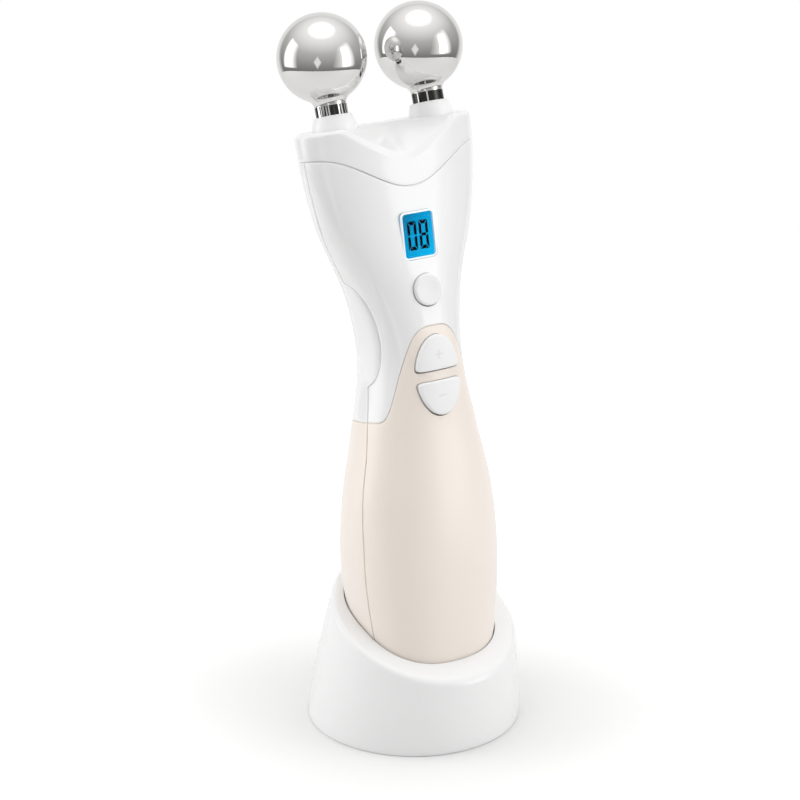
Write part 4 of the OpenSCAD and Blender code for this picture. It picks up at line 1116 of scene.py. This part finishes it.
def wall_ring(f, inset, drop):
    """Outer wall at share f of the way up to a point drop below the rim's plane."""
    y = -RIM_FRONT - (RIM_HALF_D - inset) * STAND_SIN
    a = np.stack([(BASE_R - inset) * STAND_COS, -(BASE_R - inset) * STAND_SIN,
                  np.full(STAND_COLS, SHELL_LOW)], axis=-1)
    b = np.stack([(RIM_HALF_W - inset) * STAND_COS, y, plane_z(y) - drop], axis=-1)
    bulge = np.stack([STAND_COS, -STAND_SIN, np.zeros(STAND_COLS)], axis=-1)
    return mix(a, b, f) + 0.5 * math.sin(math.pi * f) * bulge


def pocket_ring(f, gap, drop, low):
    """Pocket's wall at share f of the way down from drop below the rim's plane to height low."""
    s = np.full(STAND_COLS, 25.0)
    for _ in range(16):
        p = placed(skin(STAND_T, s, -gap), HANDSET)
        s = s + (plane_z(p[:, 1]) - drop - p[:, 2]) * 0.9
    s = np.maximum(mix(s, low, f), low)
    return placed(skin(STAND_T, s, -gap), HANDSET)


def stand_shell():
    crest = wall_ring(1, RIM_ROUND, 0)
    mouth = pocket_ring(0, POCKET_GAP + LIP_EDGE, 0, 0)
    roof = RIM_ROUND + STAND_WALL
    outer = [wall_ring(0, 0.2, 0), wall_ring(0.003, 0.06, RIM_ROUND)]
    outer += [wall_ring(f, 0, RIM_ROUND) for f in np.linspace(0.015, 0.985, 26)]
    outer += [wall_ring(1, inward, down)
              for inward, down in quarter_round(RIM_ROUND, np.linspace(0, 90, 12))]
    outer += [mix(crest, mouth, f) for f in (0.2, 0.4, 0.6, 0.8, 1)]
    outer += [pocket_ring(0, POCKET_GAP + outward, down, 0)
              for down, outward in quarter_round(LIP_EDGE, (30, 60, 90))]
    outer += [pocket_ring(f, POCKET_GAP, LIP_EDGE, -FLOOR_GAP)
              for f in np.linspace(0, 1, 10)[1:]]
    inner = [wall_ring(f, STAND_WALL, roof) for f in (0, 0.3, 0.6, 0.88)]
    inner += [pocket_ring(f, POCKET_GAP + STAND_WALL, roof, -FLOOR_GAP - FLOOR_H)
              for f in (0.15, 0.5, 1)]
    a, b = len(outer) * STAND_COLS, len(inner) * STAND_COLS
    faces = (grid_faces(len(outer), STAND_COLS, 0, True)
             + [f[::-1] for f in grid_faces(len(inner), STAND_COLS, a, True)]
             + loop_strip(list(range(STAND_COLS)), list(range(a, a + STAND_COLS))))
    for centre, ring in ((a + b, a - STAND_COLS), (a + b + 1, a + b - STAND_COLS)):
        faces += [(centre, ring + j, ring + (j + 1) % STAND_COLS) for j in range(STAND_COLS)]
    verts = np.vstack(outer + inner + [outer[-1].mean(0), inner[-1].mean(0)])
    obj = make("stand_shell_skin", (verts, faces), WORLD, STAND_SHARP)
    inlet = move(0, INLET_CUT_Y, INLET_Z) @ turn_x(-90)
    pin_hole = circle(PIN_D / 2 + PIN_GAP, 48)
    cut(obj, [(prism(circle(SOCKET_D / 2 + SOCKET_GAP, 96), 0, INLET_CUT_Y), inlet)]
        + [(prism(pin_hole + [x * PIN_PITCH / 2, PIN_Y], -5, 5), HANDSET) for x in (-1, 1)],
        STAND_SHARP)
    finish_piece(obj, "stand", STAND, "stand_white", "stand_shell")


def pin_spring(name):
    """Coil under a charge pin, made at one length; the real spring is pressed together as the pin
    goes down.
    """
    low, high = (np.array(corner) * 1000 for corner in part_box(name))
    axis = HANDSET[:3, 2]
    length = (high[2] - low[2] - SPRING_OUTER_D * axis[1]) / axis[2]
    low_end = (low + high) / 2 - axis * length / 2
    wire_r = SPRING_WIRE / 2
    u = np.linspace(0, 1, SPRING_TURNS * 20 + 1)[:, None]
    turn, b = u * SPRING_TURNS * 2 * math.pi, np.arange(8) * math.pi / 4
    r = SPRING_OUTER_D / 2 - wire_r + wire_r * np.cos(b)
    z = mix(wire_r, length - wire_r, u) + wire_r * np.sin(b)
    rings = np.stack([r * np.cos(turn), r * np.sin(turn), z], axis=-1)
    obj = make(name + "_coil", ring_solid(rings), move(*low_end) @ turn_x(-LEAN), 60.0)
    finish_piece(obj, "stand", STEEL, "steel", name)
    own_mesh(obj)


front_shell()
rear_shell()
front_cover()
rear_cover()
head_cap()
probe(-1, "left_probe")
probe(1, "right_probe")
collar(-1, "left_collar")
collar(1, "right_collar")
display_bezel()
display_window()
display_digits()
power_button()
key(1, "plus_key")
key(-1, "minus_key")
stand_shell()
pin_spring("left_spring")
pin_spring("right_spring")


# ---- camera ----

AZIMUTH = math.radians(33.5)
ELEVATION = math.radians(19.76)
TARGET = Vector((0, 0.00729, 0.09495))
DISTANCE = 0.69632
SENSOR = 36
FOCAL_LENGTH = 109.15
forward = Vector((math.sin(AZIMUTH) * math.cos(ELEVATION),
                  math.cos(AZIMUTH) * math.cos(ELEVATION), -math.sin(ELEVATION)))
right = Vector((math.cos(AZIMUTH), -math.sin(AZIMUTH), 0))
up = right.cross(forward)

camera_data = bpy.data.cameras.new("camera")
camera_data.sensor_width = camera_data.sensor_height = SENSOR
camera_data.sensor_fit = "HORIZONTAL"
camera_data.lens = FOCAL_LENGTH
camera_data.clip_start = 0.01
camera = bpy.data.objects.new("camera", camera_data)
camera.matrix_world = Matrix.Translation(TARGET - forward * DISTANCE) @ Matrix(
    (right, up, -forward)).transposed().to_4x4()
bpy.context.scene.collection.objects.link(camera)
bpy.context.scene.camera = camera

# ---- floor, lights and surroundings ----

FLOOR_R = 0.5
floor_mesh = bpy.data.meshes.new("floor")
floor_mesh.from_pydata(flat_ring(circle(FLOOR_R, 128), 0).tolist(), [], [tuple(range(128))])
floor_mesh.materials.append(floor_material())
floor = bpy.data.objects.new("floor", floor_mesh)
bpy.context.scene.collection.objects.link(floor)

LIGHTS_FACE = Vector((0, 0, 0.15))
LIGHTS = (  # azimuth and elevation; distance, width and height; radiance
    ("top_light", (0, 88), (1.0, 1.1, 1.1), 1.82),
    ("left_light", (-90, 12), (0.9, 0.6, 0.9), 2.1),
    ("right_light", (74, 14), (0.9, 0.7, 0.9), 1.55),
)
back = -Vector((forward.x, forward.y, 0)).normalized()


def around(azimuth, elevation):
    """Direction at an azimuth from the camera's side, to its right, and an elevation."""
    a, e = math.radians(azimuth), math.radians(elevation)
    flat = back * math.cos(a) + right * math.sin(a)
    return flat * math.cos(e) + Vector((0, 0, 1)) * math.sin(e)


def softbox(name, direction, distance, width, height, radiance):
    """A rectangular soft light that faces the object."""
    data = bpy.data.lights.new(name, "AREA")
    data.shape = "RECTANGLE"
    data.size = width
    data.size_y = height
    data.energy = radiance * math.pi * width * height
    lamp = bpy.data.objects.new(name, data)
    lamp.matrix_world = (Matrix.Translation(LIGHTS_FACE + direction * distance)
                         @ direction.to_track_quat("Z", "Y").to_matrix().to_4x4())
    bpy.context.scene.collection.objects.link(lamp)
    lamp.visible_camera = False
    lamp.visible_glossy = False


for name, seen_from, sizes, radiance in LIGHTS:
    softbox(name, around(*seen_from), *sizes, radiance)

# Boxes of the room that shows in reflections: the azimuths and then the lifts (sines of the
# elevation) where each starts, is full, is last full and ends, and its radiance.
ROOM_BOXES = (
    ((15, 62, 84, 100), (-0.3, -0.2, 0.5, 0.85), 1.15),
    ((52, 59, 76, 85), (-0.25, -0.2, 0.4, 0.6), 2.6),
    ((-113, -104, -82, -58), (-0.3, -0.25, 0.5, 0.6), 1.6),
)
CEILING = around(0, 88)
CEILING_ENDS = 46
CEILING_FULL = 21
CEILING_RADIANCE = 1.5
GLINT = (-9.0, 0.02)
GLINT_HALF = (13.0, 0.36)
GLINT_RADIANCE = 0.95

world = bpy.data.worlds.new("surroundings")
bpy.context.scene.world = world
world.use_nodes = True
tree = world.node_tree
tree.nodes.clear()
calc = partial(arithmetic, tree)
generated = add_node(tree, "ShaderNodeTexCoord").outputs["Generated"]


def along(direction):
    return calc("DOT_PRODUCT", generated, direction, kind="ShaderNodeVectorMath")


def band(value, low0, low1, high0, high1):
    """One between low1 and high0, falling to zero at low0 and high1."""
    return calc("MULTIPLY", to_range(tree, value, 0.0, 1.0, low0, low1),
                to_range(tree, value, 1.0, 0.0, high0, high1))


def off_centre(value, centre, half):
    return calc("DIVIDE", calc("ABSOLUTE", calc("SUBTRACT", value, centre)), half)


azimuth = calc("MULTIPLY", calc("ARCTAN2", along(right), along(back)), 180 / math.pi)
lift = along((0, 0, 1))
far = calc("ADD", along(forward), calc("MULTIPLY", calc("MAXIMUM", lift, 0.0), 0.3))
backdrop = to_range(tree, far, 0.0, 0.9, 0.44, 0.76)
dome = calc("ADD", to_range(tree, lift, 0.23, 0.56, -0.33, 0.35),
            to_range(tree, lift, 0.0, 0.5, 0.35, 0.85))
ceiling = to_range(tree, along(CEILING), 0.0, 1.0, math.cos(math.radians(CEILING_ENDS)),
                   math.cos(math.radians(CEILING_FULL)))
diamond = to_range(tree, calc("ADD", off_centre(azimuth, GLINT[0], GLINT_HALF[0]),
                              off_centre(lift, GLINT[1], GLINT_HALF[1])), 1.0, 0.0, 0.55, 1.1)
lit_areas = [(calc("MULTIPLY", band(azimuth, *turn), band(lift, *rise)), radiance)
             for turn, rise, radiance in ROOM_BOXES]
lit_areas += [(ceiling, CEILING_RADIANCE), (diamond, GLINT_RADIANCE)]
room_light = calc("MAXIMUM", dome, backdrop)
for share, radiance in lit_areas:
    room_light = calc("MAXIMUM", room_light, calc("MULTIPLY", share, radiance))


def background(**inputs):
    return add_node(tree, "ShaderNodeBackground", **inputs)


def either(share, first, second):
    node = add_node(tree, "ShaderNodeMixShader", Fac=share)
    for socket, shader in zip(node.inputs[1:], (first, second)):
        tree.links.new(shader.outputs[0], socket)
    return node


grey = add_node(tree, "ShaderNodeCombineColor", Red=room_light, Green=room_light,
                Blue=room_light)
room = background(Color=grey.outputs["Color"])
fill = background(Color=(1, 1, 1, 1),
                  Strength=to_range(tree, along(forward), 0.41, 0.61, -0.95, -0.3))
white = background(Color=(1, 1, 1, 1), Strength=1.0)
path = add_node(tree, "ShaderNodeLightPath")
lit = either(path.outputs["Is Glossy Ray"], fill, room)
seen = either(path.outputs["Is Camera Ray"], lit, white)
add_node(tree, "ShaderNodeOutputWorld", Surface=seen.outputs["Shader"])

bpy.context.scene.view_settings.view_transform = "Standard"
